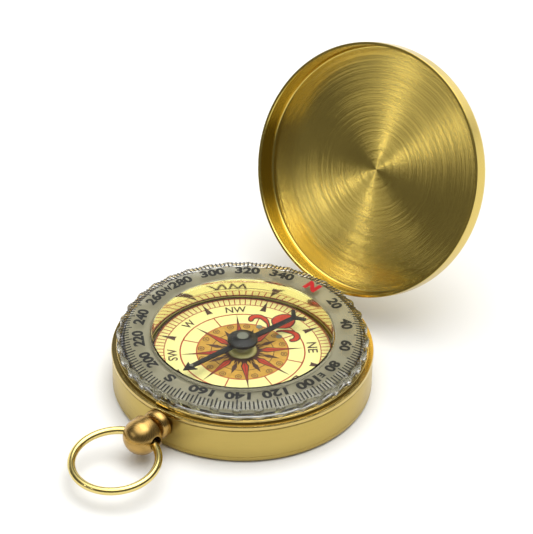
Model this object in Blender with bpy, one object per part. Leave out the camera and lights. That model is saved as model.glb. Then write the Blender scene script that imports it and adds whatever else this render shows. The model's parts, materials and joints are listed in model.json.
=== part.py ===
"""Flip-lid brass pocket compass, built piece by piece.

Metres, +Z up. The origin is the middle of the flat bottom of the case. The pendant points
to -Y and the lid's hinge is at +Y. The model stands at rest: lid open on its stop, crown
out, bow drooping a little below level.
"""

import math

import bmesh
import bpy
from mathutils import Matrix, Vector

MM = 0.001

# ---- driving dimensions -------------------------------------------------------------
TOUCH_GAP = 0.3 * MM          # between pieces that rest on each other
FINE_GAP = 0.15 * MM          # the same, between thin pieces
RUN_GAP = 0.1 * MM            # between a pin and its bore

CASE_RADIUS = 24.85 * MM
CASE_WALL = 0.7 * MM
CASE_FLOOR = 0.8 * MM
CASE_HEIGHT = 7.4 * MM
CASE_EDGE_ROUND = 0.9 * MM
ROUND_STEPS = 72

RIM_BEAD_SWELL = 0.15 * MM     # from the case wall out to the bead's crest
RIM_BEAD_HEIGHT = 0.9 * MM
RIM_TUBE_WALL = 0.7 * MM
RIM_TUBE_DEPTH = 2.2 * MM
RIM_DECK_THICK = 0.6 * MM
RIM_COLLAR_WALL = 0.75 * MM
RIM_COLLAR_HEIGHT = 0.75 * MM

LID_WALL = 0.65 * MM
LID_DEPTH = 4.3 * MM
LID_TOP_THICK = 0.7 * MM
LID_EDGE_ROUND = 2.4 * MM
LID_CORNER = 0.5 * MM
LID_SEAT_GAP = 0.1 * MM
LID_OPEN_ANGLE = math.radians(115.5)

HINGE_DROP = 2.15 * MM        # from the closed lid's rim down to the hinge axis
HINGE_OUT = 0.63 * MM         # from the lid's outer wall out to the hinge axis
KNUCKLE_RADIUS = 0.85 * MM
KNUCKLE_CLEARANCE = 0.2 * MM
PIN_RADIUS = 0.35 * MM
LID_KNUCKLE_LENGTH = 3.2 * MM
CASE_KNUCKLE_LENGTH = 1.5 * MM
LEAF_THICK = 0.5 * MM
CASE_LEAF_REACH = 3.6 * MM     # down the case wall from the knuckles
LID_LEAF_REACH = 2.4 * MM      # up the lid's wall from its rim
SPRING_BAY = 1.3 * MM
HINGE_WIRE_RADIUS = 0.1 * MM
HINGE_SPRING_TURNS = 4

CROWN_DROP = 3.05 * MM         # from the bead's top down to the crown's axis
CROWN_RADIUS = 3.5 * MM
CROWN_BARREL = 1.9 * MM
CROWN_TRAVEL = 1.2 * MM
CROWN_SPARE = 0.25 * MM        # left between ball and collar when the crown is pressed
NECK_ENGAGE = 0.9 * MM
CROWN_NECK_RADIUS = 1.55 * MM
COLLAR_RADIUS = 2.9 * MM
COLLAR_FLANGE = 1.7 * MM
COLLAR_TUBE_RADIUS = 2.2 * MM
COLLAR_END_WALL = 0.6 * MM
NUT_RADIUS = 3.3 * MM
NUT_THICK = 0.8 * MM
STEM_RADIUS = 0.7 * MM
CROWN_SPRING_TURNS = 5
CROWN_WIRE_RADIUS = 0.14 * MM

BOW_WIRE_RADIUS = 0.75 * MM
BOW_RING_RADIUS = 8.0 * MM
BOW_OFFSET = 7.7 * MM         # from the cross hole to the middle of the ring
BOW_HOLE_RADIUS = 1.35 * MM
BOW_DROOP = math.radians(6.0)

CATCH_WIDTH = 2.8 * MM
CATCH_THICK = 0.5 * MM
CATCH_NOSE_THICK = 0.35 * MM
CATCH_SIDE_GAP = 0.3 * MM
CATCH_TIP_GAP = 0.15 * MM
CATCH_NUT_RADIUS = 1.2 * MM
CATCH_NUT_THICK = 0.5 * MM

SNAP_BAY = 1.8 * MM            # between the rim's collar and the capsule's flange
CAPSULE_WALL = 0.6 * MM
CAPSULE_FLOOR = 0.6 * MM
CAPSULE_FLANGE = 3.2 * MM
CAPSULE_FLANGE_THICK = 0.45 * MM
SPACER_WALL = 1.4 * MM
DIAL_DROP = 1.65 * MM          # from the bead's top down to the dial
DIAL_THICK = 0.2 * MM
DIAL_GAP = 0.3 * MM
BOSS_RADIUS = 2.8 * MM
BOSS_THICK = 0.6 * MM
DIAL_DOT_RADIUS = 0.6 * MM
DIAL_DOT_THICK = 0.1 * MM
DIAL_DOT_REACH = 8.4 * MM
DIAL_DOT_SPREAD = math.radians(17)
DIAL_NORTH = math.radians(88.5)

POST_RADIUS = 0.4 * MM
POINT_LENGTH = 0.8 * MM
NEEDLE_LIFT = 2.1 * MM         # from the dial up to the needle
NEEDLE_THICK = 0.3 * MM
NEEDLE_END_GAP = 3.4 * MM      # from the needle's tips to the capsule's wall
NEEDLE_HEADING = math.radians(256.5)
NEEDLE_EYE_RADIUS = 2.2 * MM
HUB_RADIUS = 2.9 * MM
HUB_HEIGHT = 1.1 * MM
JEWEL_RADIUS = 0.9 * MM
JEWEL_THICK = 0.5 * MM
NEEDLE_DOT_RADIUS = 0.38 * MM
HUB_DOT_RADIUS = 1.1 * MM
DOT_THICK = 0.1 * MM

BEZEL_SIDE_GAP = 0.25 * MM     # between the bezel and the shut lid
BEZEL_OVERHANG = 0.1 * MM      # of the bezel over the capsule's bore
BEZEL_LIFT = 0.45 * MM         # from the rim's collar up to the scale
BEZEL_THICK = 1.9 * MM
BEZEL_SLOPE_WIDTH = 2.7 * MM
BEZEL_SLOPE_DROP = 0.63 * MM
BEZEL_LOBES = 36
BEZEL_LOBE_DEPTH = 0.4 * MM
BEZEL_HEADING = math.radians(85.2)
SCALE_THICK = 0.2 * MM
SCALE_EDGE_GAP = 0.2 * MM      # between the scale and the bottom of a lobe
WINDOW_THICK = 0.6 * MM
WINDOW_DROP = 0.15 * MM
SNAP_WIRE_RADIUS = 0.22 * MM

# ---- levels and radii that follow from them -----------------------------------------
CASE_INNER = CASE_RADIUS - CASE_WALL
RIM_BEAD_RADIUS = CASE_RADIUS + RIM_BEAD_SWELL
LID_RADIUS = RIM_BEAD_RADIUS
BEAD_BOTTOM = CASE_HEIGHT + FINE_GAP
BEAD_TOP = BEAD_BOTTOM + RIM_BEAD_HEIGHT
LID_SEAT = BEAD_TOP + LID_SEAT_GAP
LID_INNER = LID_RADIUS - LID_WALL
RIM_TUBE_OUTER = CASE_INNER - TOUCH_GAP
RIM_COLLAR_OUTER = LID_INNER - TOUCH_GAP
RIM_COLLAR_INNER = RIM_COLLAR_OUTER - RIM_COLLAR_WALL
RIM_COLLAR_TOP = BEAD_TOP + RIM_COLLAR_HEIGHT
DECK_TOP = BEAD_TOP
DECK_BOTTOM = DECK_TOP - RIM_DECK_THICK
CAPSULE_OUTER = RIM_COLLAR_INNER - SNAP_BAY - CAPSULE_FLANGE
CAPSULE_BORE = CAPSULE_OUTER - CAPSULE_WALL
DECK_BORE = CAPSULE_OUTER + TOUCH_GAP
FLANGE_BOTTOM = DECK_TOP + FINE_GAP
FLANGE_TOP = FLANGE_BOTTOM + CAPSULE_FLANGE_THICK
FLANGE_RADIUS = CAPSULE_OUTER + CAPSULE_FLANGE
BEZEL_RADIUS = LID_INNER - BEZEL_SIDE_GAP
BEZEL_FLAT_RADIUS = BEZEL_RADIUS - BEZEL_SLOPE_WIDTH
BEZEL_BORE = CAPSULE_BORE - BEZEL_OVERHANG
SCALE_RADIUS = BEZEL_RADIUS - BEZEL_LOBE_DEPTH - SCALE_EDGE_GAP
SCALE_BOTTOM = RIM_COLLAR_TOP + BEZEL_LIFT
SCALE_TOP = SCALE_BOTTOM + SCALE_THICK
BEZEL_BOTTOM = SCALE_TOP + FINE_GAP
BEZEL_TOP = BEZEL_BOTTOM + BEZEL_THICK
WINDOW_TOP = BEZEL_TOP - WINDOW_DROP
WINDOW_RADIUS = BEZEL_BORE - TOUCH_GAP
DIAL_HEIGHT = BEAD_TOP - DIAL_DROP
DIAL_BOTTOM = DIAL_HEIGHT - DIAL_THICK
CAPSULE_FLOOR_TOP = DIAL_BOTTOM - DIAL_GAP
CAPSULE_FLOOR_BOTTOM = CAPSULE_FLOOR_TOP - CAPSULE_FLOOR
DIAL_RADIUS = CAPSULE_BORE - TOUCH_GAP
BOSS_BOTTOM = DIAL_HEIGHT + TOUCH_GAP
BOSS_TOP = BOSS_BOTTOM + BOSS_THICK
NEEDLE_HEIGHT = DIAL_HEIGHT + NEEDLE_LIFT
NEEDLE_HALF = CAPSULE_BORE - NEEDLE_END_GAP
NEEDLE_TOP = NEEDLE_HEIGHT + NEEDLE_THICK
HUB_BOTTOM = NEEDLE_TOP + FINE_GAP
HUB_TOP = HUB_BOTTOM + HUB_HEIGHT
HUB_STUB_RADIUS = NEEDLE_EYE_RADIUS - FINE_GAP
HUB_STUB_BOTTOM = NEEDLE_HEIGHT - FINE_GAP
JEWEL_TOP = HUB_BOTTOM
JEWEL_BOTTOM = JEWEL_TOP - JEWEL_THICK
POST_TIP = JEWEL_BOTTOM + 0.6 * JEWEL_THICK - RUN_GAP
HINGE_Y = LID_RADIUS + HINGE_OUT
HINGE_Z = LID_SEAT - HINGE_DROP
PIN_BORE = PIN_RADIUS + RUN_GAP
KNUCKLE_NOTCH = KNUCKLE_RADIUS + KNUCKLE_CLEARANCE
LID_KNUCKLE_HALF = LID_KNUCKLE_LENGTH / 2
CASE_KNUCKLE_IN = LID_KNUCKLE_HALF + FINE_GAP
SPRING_END = CASE_KNUCKLE_IN + SPRING_BAY
HINGE_HALF = SPRING_END + CASE_KNUCKLE_LENGTH
COLLAR_FACE = CASE_RADIUS + TOUCH_GAP
COLLAR_OUTER_FACE = COLLAR_FACE + COLLAR_FLANGE
COLLAR_BORE = CROWN_NECK_RADIUS + RUN_GAP
CROWN_HEIGHT = BEAD_TOP - CROWN_DROP
CROWN_SHOULDER = COLLAR_OUTER_FACE + CROWN_TRAVEL + CROWN_SPARE
CROWN_REACH = CROWN_SHOULDER + CROWN_BARREL
NECK_END = COLLAR_OUTER_FACE - NECK_ENGAGE
STEM_HOLE = STEM_RADIUS + FINE_GAP
STEM_OUTER_END = CROWN_REACH - BOW_HOLE_RADIUS - TOUCH_GAP
CATCH_STACK = CATCH_THICK + CATCH_NUT_THICK + 3 * FINE_GAP
COLLAR_TUBE_END = CAPSULE_OUTER + TOUCH_GAP + CROWN_TRAVEL + CATCH_STACK
CATCH_OUTER_FACE = COLLAR_TUBE_END - FINE_GAP
CATCH_INNER_FACE = CATCH_OUTER_FACE - CATCH_THICK
STEM_INNER_END = COLLAR_TUBE_END - CATCH_STACK
CATCH_NOSE_TOP = RIM_COLLAR_TOP - 0.1 * MM
CATCH_NOSE_BOTTOM = CATCH_NOSE_TOP - CATCH_NOSE_THICK
CATCH_TIP = LID_INNER - CATCH_TIP_GAP


# ---- materials ----------------------------------------------------------------------
def finish(name, colour, metallic, roughness, transmission=0.0):
    material = bpy.data.materials.new(name)
    material.use_nodes = True
    shader = material.node_tree.nodes["Principled BSDF"]
    shader.inputs["Base Color"].default_value = (*colour, 1.0)
    shader.inputs["Metallic"].default_value = metallic
    shader.inputs["Roughness"].default_value = roughness
    shader.inputs["Transmission Weight"].default_value = transmission
    material.diffuse_color = (*colour, 1.0)
    return material


for old in list(bpy.data.objects):
    bpy.data.objects.remove(old, do_unlink=True)

SATIN_BRASS = finish("satin_brass", (0.55, 0.40, 0.13), 1.0, 0.38)
POLISHED_BRASS = finish("polished_brass", (0.62, 0.45, 0.15), 1.0, 0.15)
CROWN_BRASS = finish("crown_brass", (0.60, 0.36, 0.10), 1.0, 0.25)
SPRING_STEEL = finish("spring_steel", (0.45, 0.45, 0.46), 1.0, 0.35)
MIRROR_METAL = finish("mirror_metal", (0.80, 0.78, 0.70), 1.0, 0.08)
CLEAR_ACRYLIC = finish("clear_acrylic", (0.95, 0.96, 0.94), 0.0, 0.05, 1.0)
SCALE_GREY = finish("scale_grey", (0.33, 0.31, 0.22), 0.4, 0.45)
DIAL_CREAM = finish("dial_cream", (0.85, 0.80, 0.40), 0.0, 0.5)
NEEDLE_BLACK = finish("needle_black", (0.02, 0.02, 0.018), 0.0, 0.3)
LUME_GREY = finish("lume_grey", (0.40, 0.42, 0.33), 0.0, 0.5)
JEWEL_RED = finish("jewel_red", (0.45, 0.03, 0.06), 0.0, 0.1)
SPACER_BLACK = finish("spacer_black", (0.03, 0.03, 0.03), 0.0, 0.5)


# ---- shape tools --------------------------------------------------------------------
def place(name, bm, material, parent=None, lay=None):
    """Makes an object of a bmesh. lay turns or moves the shape in its own frame."""
    bmesh.ops.remove_doubles(bm, verts=bm.verts, dist=0.0005 * MM)
    bmesh.ops.recalc_face_normals(bm, faces=bm.faces)
    if lay is not None:
        bmesh.ops.transform(bm, matrix=lay, verts=bm.verts)
    mesh = bpy.data.meshes.new(name)
    bm.to_mesh(mesh)
    bm.free()
    mesh.shade_smooth()
    mesh.set_sharp_from_angle(angle=math.radians(35))
    made = bpy.data.objects.new(name, mesh)
    made.data.materials.append(material)
    bpy.context.collection.objects.link(made)
    made.parent = parent
    return made


def turned(name, outline, material, steps=ROUND_STEPS, parent=None, lay=None):
    """A solid of revolution about Z. An outline that starts and ends on the axis stays open."""
    bm = bmesh.new()
    points = [bm.verts.new((radius, 0, height)) for radius, height in outline]
    edges = [bm.edges.new(pair) for pair in zip(points, points[1:])]
    if outline[0][0] > 0 or outline[-1][0] > 0:
        edges.append(bm.edges.new((points[-1], points[0])))
    bmesh.ops.spin(bm, geom=points + edges, cent=(0, 0, 0), axis=(0, 0, 1),
                   angle=math.tau, steps=steps, use_merge=True)
    return place(name, bm, material, parent, lay)


def block(name, low, high, material, parent=None, lay=None):
    low, high = Vector(low), Vector(high)
    bm = bmesh.new()
    bmesh.ops.create_cube(bm, size=1)
    bmesh.ops.scale(bm, vec=high - low, verts=bm.verts)
    bmesh.ops.translate(bm, vec=(low + high) / 2, verts=bm.verts)
    return place(name, bm, material, parent, lay)


def sector(name, inner, outer, low, high, half_width, material, parent=None, lay=None):
    """A curved plate about Z, centred on +Y, as wide as half_width to each side."""
    half_angle = math.asin(half_width / inner)
    corners = [(inner, low), (outer, low), (outer, high), (inner, high)]
    turn = Matrix.Rotation(math.pi / 2 - half_angle, 4, "Z")
    bm = bmesh.new()
    face = bm.faces.new([bm.verts.new(turn @ Vector((r, 0, z))) for r, z in corners])
    steps = 8
    for step in range(steps):
        grown = bmesh.ops.extrude_face_region(bm, geom=[face])["geom"]
        if step:
            bmesh.ops.delete(bm, geom=[face], context="FACES_ONLY")
        face = next(part for part in grown if isinstance(part, bmesh.types.BMFace))
        bmesh.ops.rotate(bm, verts=face.verts, cent=(0, 0, 0),
                         matrix=Matrix.Rotation(2 * half_angle / steps, 3, "Z"))
    return place(name, bm, material, parent, lay)


def plate(name, outline, low, high, material, parent=None):
    """A flat plate of an outline in XY."""
    bm = bmesh.new()
    face = bm.faces.new([bm.verts.new((x, y, low)) for x, y in outline])
    grown = bmesh.ops.extrude_face_region(bm, geom=[face])["geom"]
    moved = [part for part in grown if isinstance(part, bmesh.types.BMVert)]
    bmesh.ops.translate(bm, vec=(0, 0, high - low), verts=moved)
    return place(name, bm, material, parent)


def rod(name, radius, start, end, material, parent=None, steps=24, lay=None):
    """A plain cylinder along Z, or along whatever lay turns Z into."""
    outline = [(0, end), (radius, end), (radius, start), (0, start)]
    return turned(name, outline, material, steps, parent, lay)


def coil(name, radius, wire, start, end, turns, material, parent=None, steps=10):
    """A helical wire about the local Z axis, from start to end."""
    curve = bpy.data.curves.new(name, "CURVE")
    curve.dimensions = "3D"
    curve.bevel_depth = wire
    curve.bevel_resolution = 1
    curve.use_fill_caps = True
    count = turns * steps
    line = curve.splines.new("POLY")
    line.points.add(count)
    for index in range(count + 1):
        angle = math.tau * index / steps
        rise = start + wire + (end - start - 2 * wire) * index / count
        line.points[index].co = (radius * math.cos(angle), radius * math.sin(angle), rise, 1)
    made = bpy.data.objects.new(name, curve)
    made.data.materials.append(material)
    bpy.context.collection.objects.link(made)
    made.parent = parent
    return made


def hex_nut(name, radius, bore, start, end, parent, lay):
    nut = rod(name, radius, start, end, POLISHED_BRASS, parent, 6, lay)
    cutter = rod(f"{name}_bore", bore, start - CASE_WALL, end + CASE_WALL, POLISHED_BRASS,
                 parent, 24, lay)
    combine(nut, cutter, "DIFFERENCE")


def arc(centre, radius, first, last, steps):
    """Points (r, z) on an arc; the angles are in degrees from the radial direction."""
    angles = [math.radians(first + (last - first) * step / steps) for step in range(steps + 1)]
    return [(centre[0] + radius * math.cos(a), centre[1] + radius * math.sin(a)) for a in angles]


def combine(target, tool, operation):
    """Cuts a hidden tool from target, or joins it on."""
    tool.hide_render = True
    tool.display_type = "WIRE"
    modifier = target.modifiers.new(tool.name, "BOOLEAN")
    modifier.operation = operation
    modifier.object = tool
    modifier.solver = "EXACT"


def pivot(name, location, turn=0.0, axis="X", parent=None):
    empty = bpy.data.objects.new(name, None)
    empty.location = location
    empty.rotation_euler = Matrix.Rotation(turn, 3, axis).to_euler()
    empty.parent = parent
    empty.empty_display_size = 5 * MM
    bpy.context.collection.objects.link(empty)
    return empty


OUTWARD = Matrix.Rotation(math.radians(90), 4, "X")      # turns +Z into -Y
SIDEWAYS = Matrix.Rotation(math.radians(90), 4, "Y")     # turns +Z into +X
AT_CROWN = Matrix.Translation((0, 0, CROWN_HEIGHT))


# ---- case ---------------------------------------------------------------------------
def make_base_shell():
    edge_centre = (CASE_RADIUS - CASE_EDGE_ROUND, CASE_EDGE_ROUND)
    outline = [(0, CASE_FLOOR), (CASE_INNER, CASE_FLOOR), (CASE_INNER, CASE_HEIGHT),
               (CASE_RADIUS, CASE_HEIGHT)]
    outline += arc(edge_centre, CASE_EDGE_ROUND, 0, -90, 4)
    outline += [(0, 0)]
    shell = turned("base_shell", outline, SATIN_BRASS)
    notch = rod("knuckle_notch", KNUCKLE_NOTCH, -HINGE_HALF - TOUCH_GAP, HINGE_HALF + TOUCH_GAP,
                SATIN_BRASS, lay=Matrix.Translation((0, HINGE_Y, HINGE_Z)) @ SIDEWAYS)
    hole = rod("collar_hole", COLLAR_TUBE_RADIUS + FINE_GAP, CASE_INNER - CASE_WALL,
               CASE_RADIUS + CASE_WALL, SATIN_BRASS, lay=AT_CROWN @ OUTWARD)
    combine(shell, notch, "DIFFERENCE")
    combine(shell, hole, "DIFFERENCE")


def make_rim_ring():
    """Bead, seat for the lid, collar and inner deck of one turned ring."""
    bead = RIM_BEAD_HEIGHT / 2
    swell = RIM_BEAD_RADIUS - CASE_RADIUS
    tube_bottom = BEAD_BOTTOM - RIM_TUBE_DEPTH
    tube_inner = RIM_TUBE_OUTER - RIM_TUBE_WALL
    outline = [(RIM_COLLAR_OUTER, BEAD_TOP), (CASE_RADIUS, BEAD_TOP),
               (CASE_RADIUS + 0.7 * swell, BEAD_TOP - 0.4 * bead),
               (RIM_BEAD_RADIUS, BEAD_BOTTOM + bead),
               (CASE_RADIUS + 0.7 * swell, BEAD_BOTTOM + 0.4 * bead),
               (CASE_RADIUS, BEAD_BOTTOM), (RIM_TUBE_OUTER, BEAD_BOTTOM),
               (RIM_TUBE_OUTER, tube_bottom), (tube_inner, tube_bottom),
               (tube_inner, DECK_BOTTOM), (DECK_BORE, DECK_BOTTOM), (DECK_BORE, DECK_TOP),
               (RIM_COLLAR_INNER, DECK_TOP), (RIM_COLLAR_INNER, RIM_COLLAR_TOP),
               (RIM_COLLAR_OUTER, RIM_COLLAR_TOP)]
    ring = turned("rim_ring", outline, POLISHED_BRASS)
    half = CATCH_WIDTH / 2 + CATCH_SIDE_GAP
    back = CATCH_INNER_FACE - CROWN_TRAVEL - CATCH_SIDE_GAP
    slot = block("catch_slot", (-half, -CASE_RADIUS, BEAD_TOP + 0.5 * FINE_GAP),
                 (half, -back, RIM_COLLAR_TOP + CASE_WALL), POLISHED_BRASS)
    well = block("catch_well", (-half, -CATCH_OUTER_FACE - CATCH_SIDE_GAP, 0),
                 (half, -back, RIM_COLLAR_TOP + CASE_WALL), POLISHED_BRASS)
    nut_bay = rod("nut_bay", NUT_RADIUS + TOUCH_GAP, COLLAR_TUBE_END - TOUCH_GAP, CASE_INNER,
                  POLISHED_BRASS, lay=AT_CROWN @ OUTWARD)
    tube_bay = rod("tube_bay", COLLAR_TUBE_RADIUS + FINE_GAP, CASE_INNER - CASE_WALL,
                   CASE_RADIUS + CASE_WALL, POLISHED_BRASS, lay=AT_CROWN @ OUTWARD)
    combine(ring, slot, "DIFFERENCE")
    combine(ring, well, "DIFFERENCE")
    combine(ring, nut_bay, "DIFFERENCE")
    combine(ring, tube_bay, "DIFFERENCE")


# ---- dial capsule -------------------------------------------------------------------
def make_capsule():
    hole = POST_RADIUS + FINE_GAP
    outline = [(hole, CAPSULE_FLOOR_TOP), (CAPSULE_BORE, CAPSULE_FLOOR_TOP),
               (CAPSULE_BORE, FLANGE_TOP), (FLANGE_RADIUS, FLANGE_TOP),
               (FLANGE_RADIUS, FLANGE_BOTTOM), (CAPSULE_OUTER, FLANGE_BOTTOM),
               (CAPSULE_OUTER, CAPSULE_FLOOR_BOTTOM), (hole, CAPSULE_FLOOR_BOTTOM)]
    cup = turned("capsule_cup", outline, MIRROR_METAL)
    half = CATCH_WIDTH / 2 + CATCH_SIDE_GAP
    back = CATCH_INNER_FACE - CROWN_TRAVEL - CATCH_SIDE_GAP
    relief = block("flange_relief", (-half, -FLANGE_RADIUS - CASE_WALL, FLANGE_BOTTOM - CASE_WALL),
                   (half, -back, FLANGE_TOP + CASE_WALL), MIRROR_METAL)
    combine(cup, relief, "DIFFERENCE")
    spacer_inner = CAPSULE_BORE - SPACER_WALL
    spacer_top = CAPSULE_FLOOR_BOTTOM - TOUCH_GAP
    spacer_bottom = CASE_FLOOR + TOUCH_GAP
    turned("capsule_spacer", [(spacer_inner, spacer_top), (CAPSULE_BORE, spacer_top),
                              (CAPSULE_BORE, spacer_bottom), (spacer_inner, spacer_bottom)], SPACER_BLACK)
    turned("dial_card", [(hole, DIAL_HEIGHT), (DIAL_RADIUS, DIAL_HEIGHT),
                         (DIAL_RADIUS, DIAL_BOTTOM), (hole, DIAL_BOTTOM)], DIAL_CREAM)
    turned("pivot_boss", [(hole, BOSS_TOP), (0.6 * BOSS_RADIUS, BOSS_TOP),
                          (0.9 * BOSS_RADIUS, BOSS_BOTTOM + 0.6 * BOSS_THICK),
                          (BOSS_RADIUS, BOSS_BOTTOM), (hole, BOSS_BOTTOM)], DIAL_CREAM, 36)
    for side, label in ((1, "left"), (-1, "right")):
        angle = DIAL_NORTH + side * DIAL_DOT_SPREAD
        spot = Matrix.Translation((DIAL_DOT_REACH * math.cos(angle), DIAL_DOT_REACH * math.sin(angle), 0))
        base = DIAL_HEIGHT + RUN_GAP
        rod(f"dial_lume_{label}", DIAL_DOT_RADIUS, base, base + DIAL_DOT_THICK, LUME_GREY, lay=spot)
    post_bottom = CAPSULE_FLOOR_BOTTOM - 2 * FINE_GAP
    turned("pivot_post", [(0, POST_TIP), (POST_RADIUS, POST_TIP - POINT_LENGTH),
                          (POST_RADIUS, CAPSULE_FLOOR_BOTTOM - FINE_GAP),
                          (3 * POST_RADIUS, CAPSULE_FLOOR_BOTTOM - FINE_GAP),
                          (3 * POST_RADIUS, post_bottom - CAPSULE_FLOOR), (0, post_bottom - CAPSULE_FLOOR)],
           POLISHED_BRASS, 20)


# ---- needle -------------------------------------------------------------------------
def needle_outline():
    """Half an outline of the needle, arrow head at +X and forked tail at -X."""
    return [(1.0, 0.0), (0.80, 0.105), (0.815, 0.036), (0.20, 0.045), (0.10, 0.16),
            (-0.10, 0.16), (-0.20, 0.045), (-0.80, 0.036), (-0.95, 0.14), (-1.0, 0.08), (-0.91, 0.0)]


def make_needle():
    axis = pivot("needle_axis", (0, 0, 0), NEEDLE_HEADING, "Z")
    half = [(x * NEEDLE_HALF, y * NEEDLE_HALF) for x, y in needle_outline()]
    other = [(x, -y) for x, y in reversed(half[1:-1])]
    needle = plate("needle", half + other, NEEDLE_HEIGHT, NEEDLE_TOP, NEEDLE_BLACK, axis)
    eye_ring = rod("needle_eye_ring", NEEDLE_EYE_RADIUS + 2 * CASE_WALL, NEEDLE_HEIGHT - 0.01 * MM,
                   NEEDLE_TOP + 0.01 * MM, NEEDLE_BLACK, axis, 36)
    eye = rod("needle_eye", NEEDLE_EYE_RADIUS, NEEDLE_HEIGHT - CASE_WALL, NEEDLE_TOP + CASE_WALL,
              NEEDLE_BLACK, axis, 36)
    combine(needle, eye_ring, "UNION")
    combine(needle, eye, "DIFFERENCE")
    dome_start = HUB_TOP - 0.35 * HUB_HEIGHT
    cap = JEWEL_TOP + FINE_GAP
    bore = JEWEL_RADIUS + FINE_GAP
    turned("needle_hub", [(0, HUB_TOP), (0.55 * HUB_RADIUS, HUB_TOP), (0.85 * HUB_RADIUS, dome_start),
                          (HUB_RADIUS, HUB_BOTTOM + 0.2 * HUB_HEIGHT), (HUB_RADIUS, HUB_BOTTOM),
                          (HUB_STUB_RADIUS, HUB_BOTTOM), (HUB_STUB_RADIUS, HUB_STUB_BOTTOM),
                          (bore, HUB_STUB_BOTTOM), (bore, cap), (0, cap)], NEEDLE_BLACK, 36, axis)
    turned("jewel_bearing", [(0, JEWEL_TOP), (JEWEL_RADIUS, JEWEL_TOP), (JEWEL_RADIUS, JEWEL_BOTTOM),
                             (POST_RADIUS + RUN_GAP, JEWEL_BOTTOM), (0, JEWEL_BOTTOM + 0.6 * JEWEL_THICK)],
           JEWEL_RED, 24, axis)
    rod("hub_lume", HUB_DOT_RADIUS, HUB_TOP + RUN_GAP, HUB_TOP + RUN_GAP + DOT_THICK, LUME_GREY, axis)
    spot = Matrix.Translation((0.86 * NEEDLE_HALF, 0, 0))
    low = NEEDLE_TOP + RUN_GAP
    rod("needle_lume", NEEDLE_DOT_RADIUS, low, low + DOT_THICK, LUME_GREY, axis, 16, spot)


# ---- bezel --------------------------------------------------------------------------
def make_bezel():
    axis = pivot("bezel_axis", (0, 0, 0), BEZEL_HEADING, "Z")
    slope_end = BEZEL_TOP - BEZEL_SLOPE_DROP
    outline = [(BEZEL_BORE, BEZEL_TOP), (BEZEL_FLAT_RADIUS, BEZEL_TOP), (BEZEL_RADIUS, slope_end),
               (BEZEL_RADIUS, BEZEL_BOTTOM), (BEZEL_BORE, BEZEL_BOTTOM)]
    ring = turned("bezel_ring", outline, CLEAR_ACRYLIC, BEZEL_LOBES * 4, axis)
    for point in ring.data.vertices:
        radius = math.hypot(point.co.x, point.co.y)
        if radius > BEZEL_RADIUS - BEZEL_LOBE_DEPTH:
            wave = math.cos(BEZEL_LOBES * math.atan2(point.co.y, point.co.x))
            shrink = 1 - BEZEL_LOBE_DEPTH * (1 - wave) / 2 / radius
            point.co.x *= shrink
            point.co.y *= shrink
    turned("scale_ring", [(BEZEL_BORE, SCALE_TOP), (SCALE_RADIUS, SCALE_TOP), (SCALE_RADIUS, SCALE_BOTTOM),
                          (BEZEL_BORE, SCALE_BOTTOM)], SCALE_GREY, ROUND_STEPS, axis)
    rod("window", WINDOW_RADIUS, WINDOW_TOP - WINDOW_THICK, WINDOW_TOP, CLEAR_ACRYLIC, axis, ROUND_STEPS)
    middle = (FLANGE_RADIUS + RIM_COLLAR_INNER) / 2
    level = (DECK_TOP + SCALE_BOTTOM) / 2
    corners = arc((middle, level), SNAP_WIRE_RADIUS, 0, -315, 7)
    snap = turned("bezel_snap_ring", corners, SPRING_STEEL, 48)
    half = CATCH_WIDTH / 2 + CATCH_SIDE_GAP
    gap = block("snap_ring_gap", (-half, -CASE_RADIUS, 0), (half, -CAPSULE_BORE, BEZEL_TOP), SPRING_STEEL)
    combine(snap, gap, "DIFFERENCE")


# ---- lid and hinge ------------------------------------------------------------------
def make_lid():
    """The lid is shaped closed, in the hinge's frame, and the hinge's empty opens it.

    A heel under the lid's knuckle comes to rest on the case leaf when the lid is open.
    """
    axis = pivot("lid_axis", (0, HINGE_Y, HINGE_Z), -LID_OPEN_ANGLE, "X")
    shut = Matrix.Translation((0, -HINGE_Y, -HINGE_Z))
    inner_top = LID_SEAT + LID_DEPTH
    outer_top = inner_top + LID_TOP_THICK
    edge_centre = (LID_RADIUS - LID_EDGE_ROUND, outer_top - LID_EDGE_ROUND)
    outline = [(0, outer_top)] + arc(edge_centre, LID_EDGE_ROUND, 90, 0, 8)
    outline += [(LID_RADIUS, LID_SEAT), (LID_INNER, LID_SEAT), (LID_INNER, inner_top - LID_CORNER),
                (LID_INNER - LID_CORNER, inner_top), (0, inner_top)]
    turned("lid_shell", outline, SATIN_BRASS, ROUND_STEPS, axis, shut)
    leaf_inner = LID_RADIUS + TOUCH_GAP
    leaf = sector("hinge_lid_leaf", leaf_inner, leaf_inner + LEAF_THICK, HINGE_Z,
                  LID_SEAT + LID_LEAF_REACH, LID_KNUCKLE_HALF, POLISHED_BRASS, axis, shut)
    knuckle = rod("lid_knuckle", KNUCKLE_RADIUS, -LID_KNUCKLE_HALF, LID_KNUCKLE_HALF, POLISHED_BRASS,
                  axis, lay=SIDEWAYS)
    bore = rod("lid_knuckle_bore", PIN_BORE, -HINGE_HALF, HINGE_HALF, POLISHED_BRASS, axis, lay=SIDEWAYS)
    heel_in = CASE_RADIUS + TOUCH_GAP + LEAF_THICK + FINE_GAP - HINGE_Y
    heel_half = 0.6 * LID_KNUCKLE_HALF
    heel = block("stop_heel", (-heel_half, heel_in, -KNUCKLE_NOTCH - KNUCKLE_RADIUS),
                 (heel_half, heel_in + LEAF_THICK, -0.4 * KNUCKLE_RADIUS), POLISHED_BRASS, axis,
                 Matrix.Rotation(LID_OPEN_ANGLE, 4, "X"))
    combine(leaf, knuckle, "UNION")
    combine(leaf, heel, "UNION")
    combine(leaf, bore, "DIFFERENCE")


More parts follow.
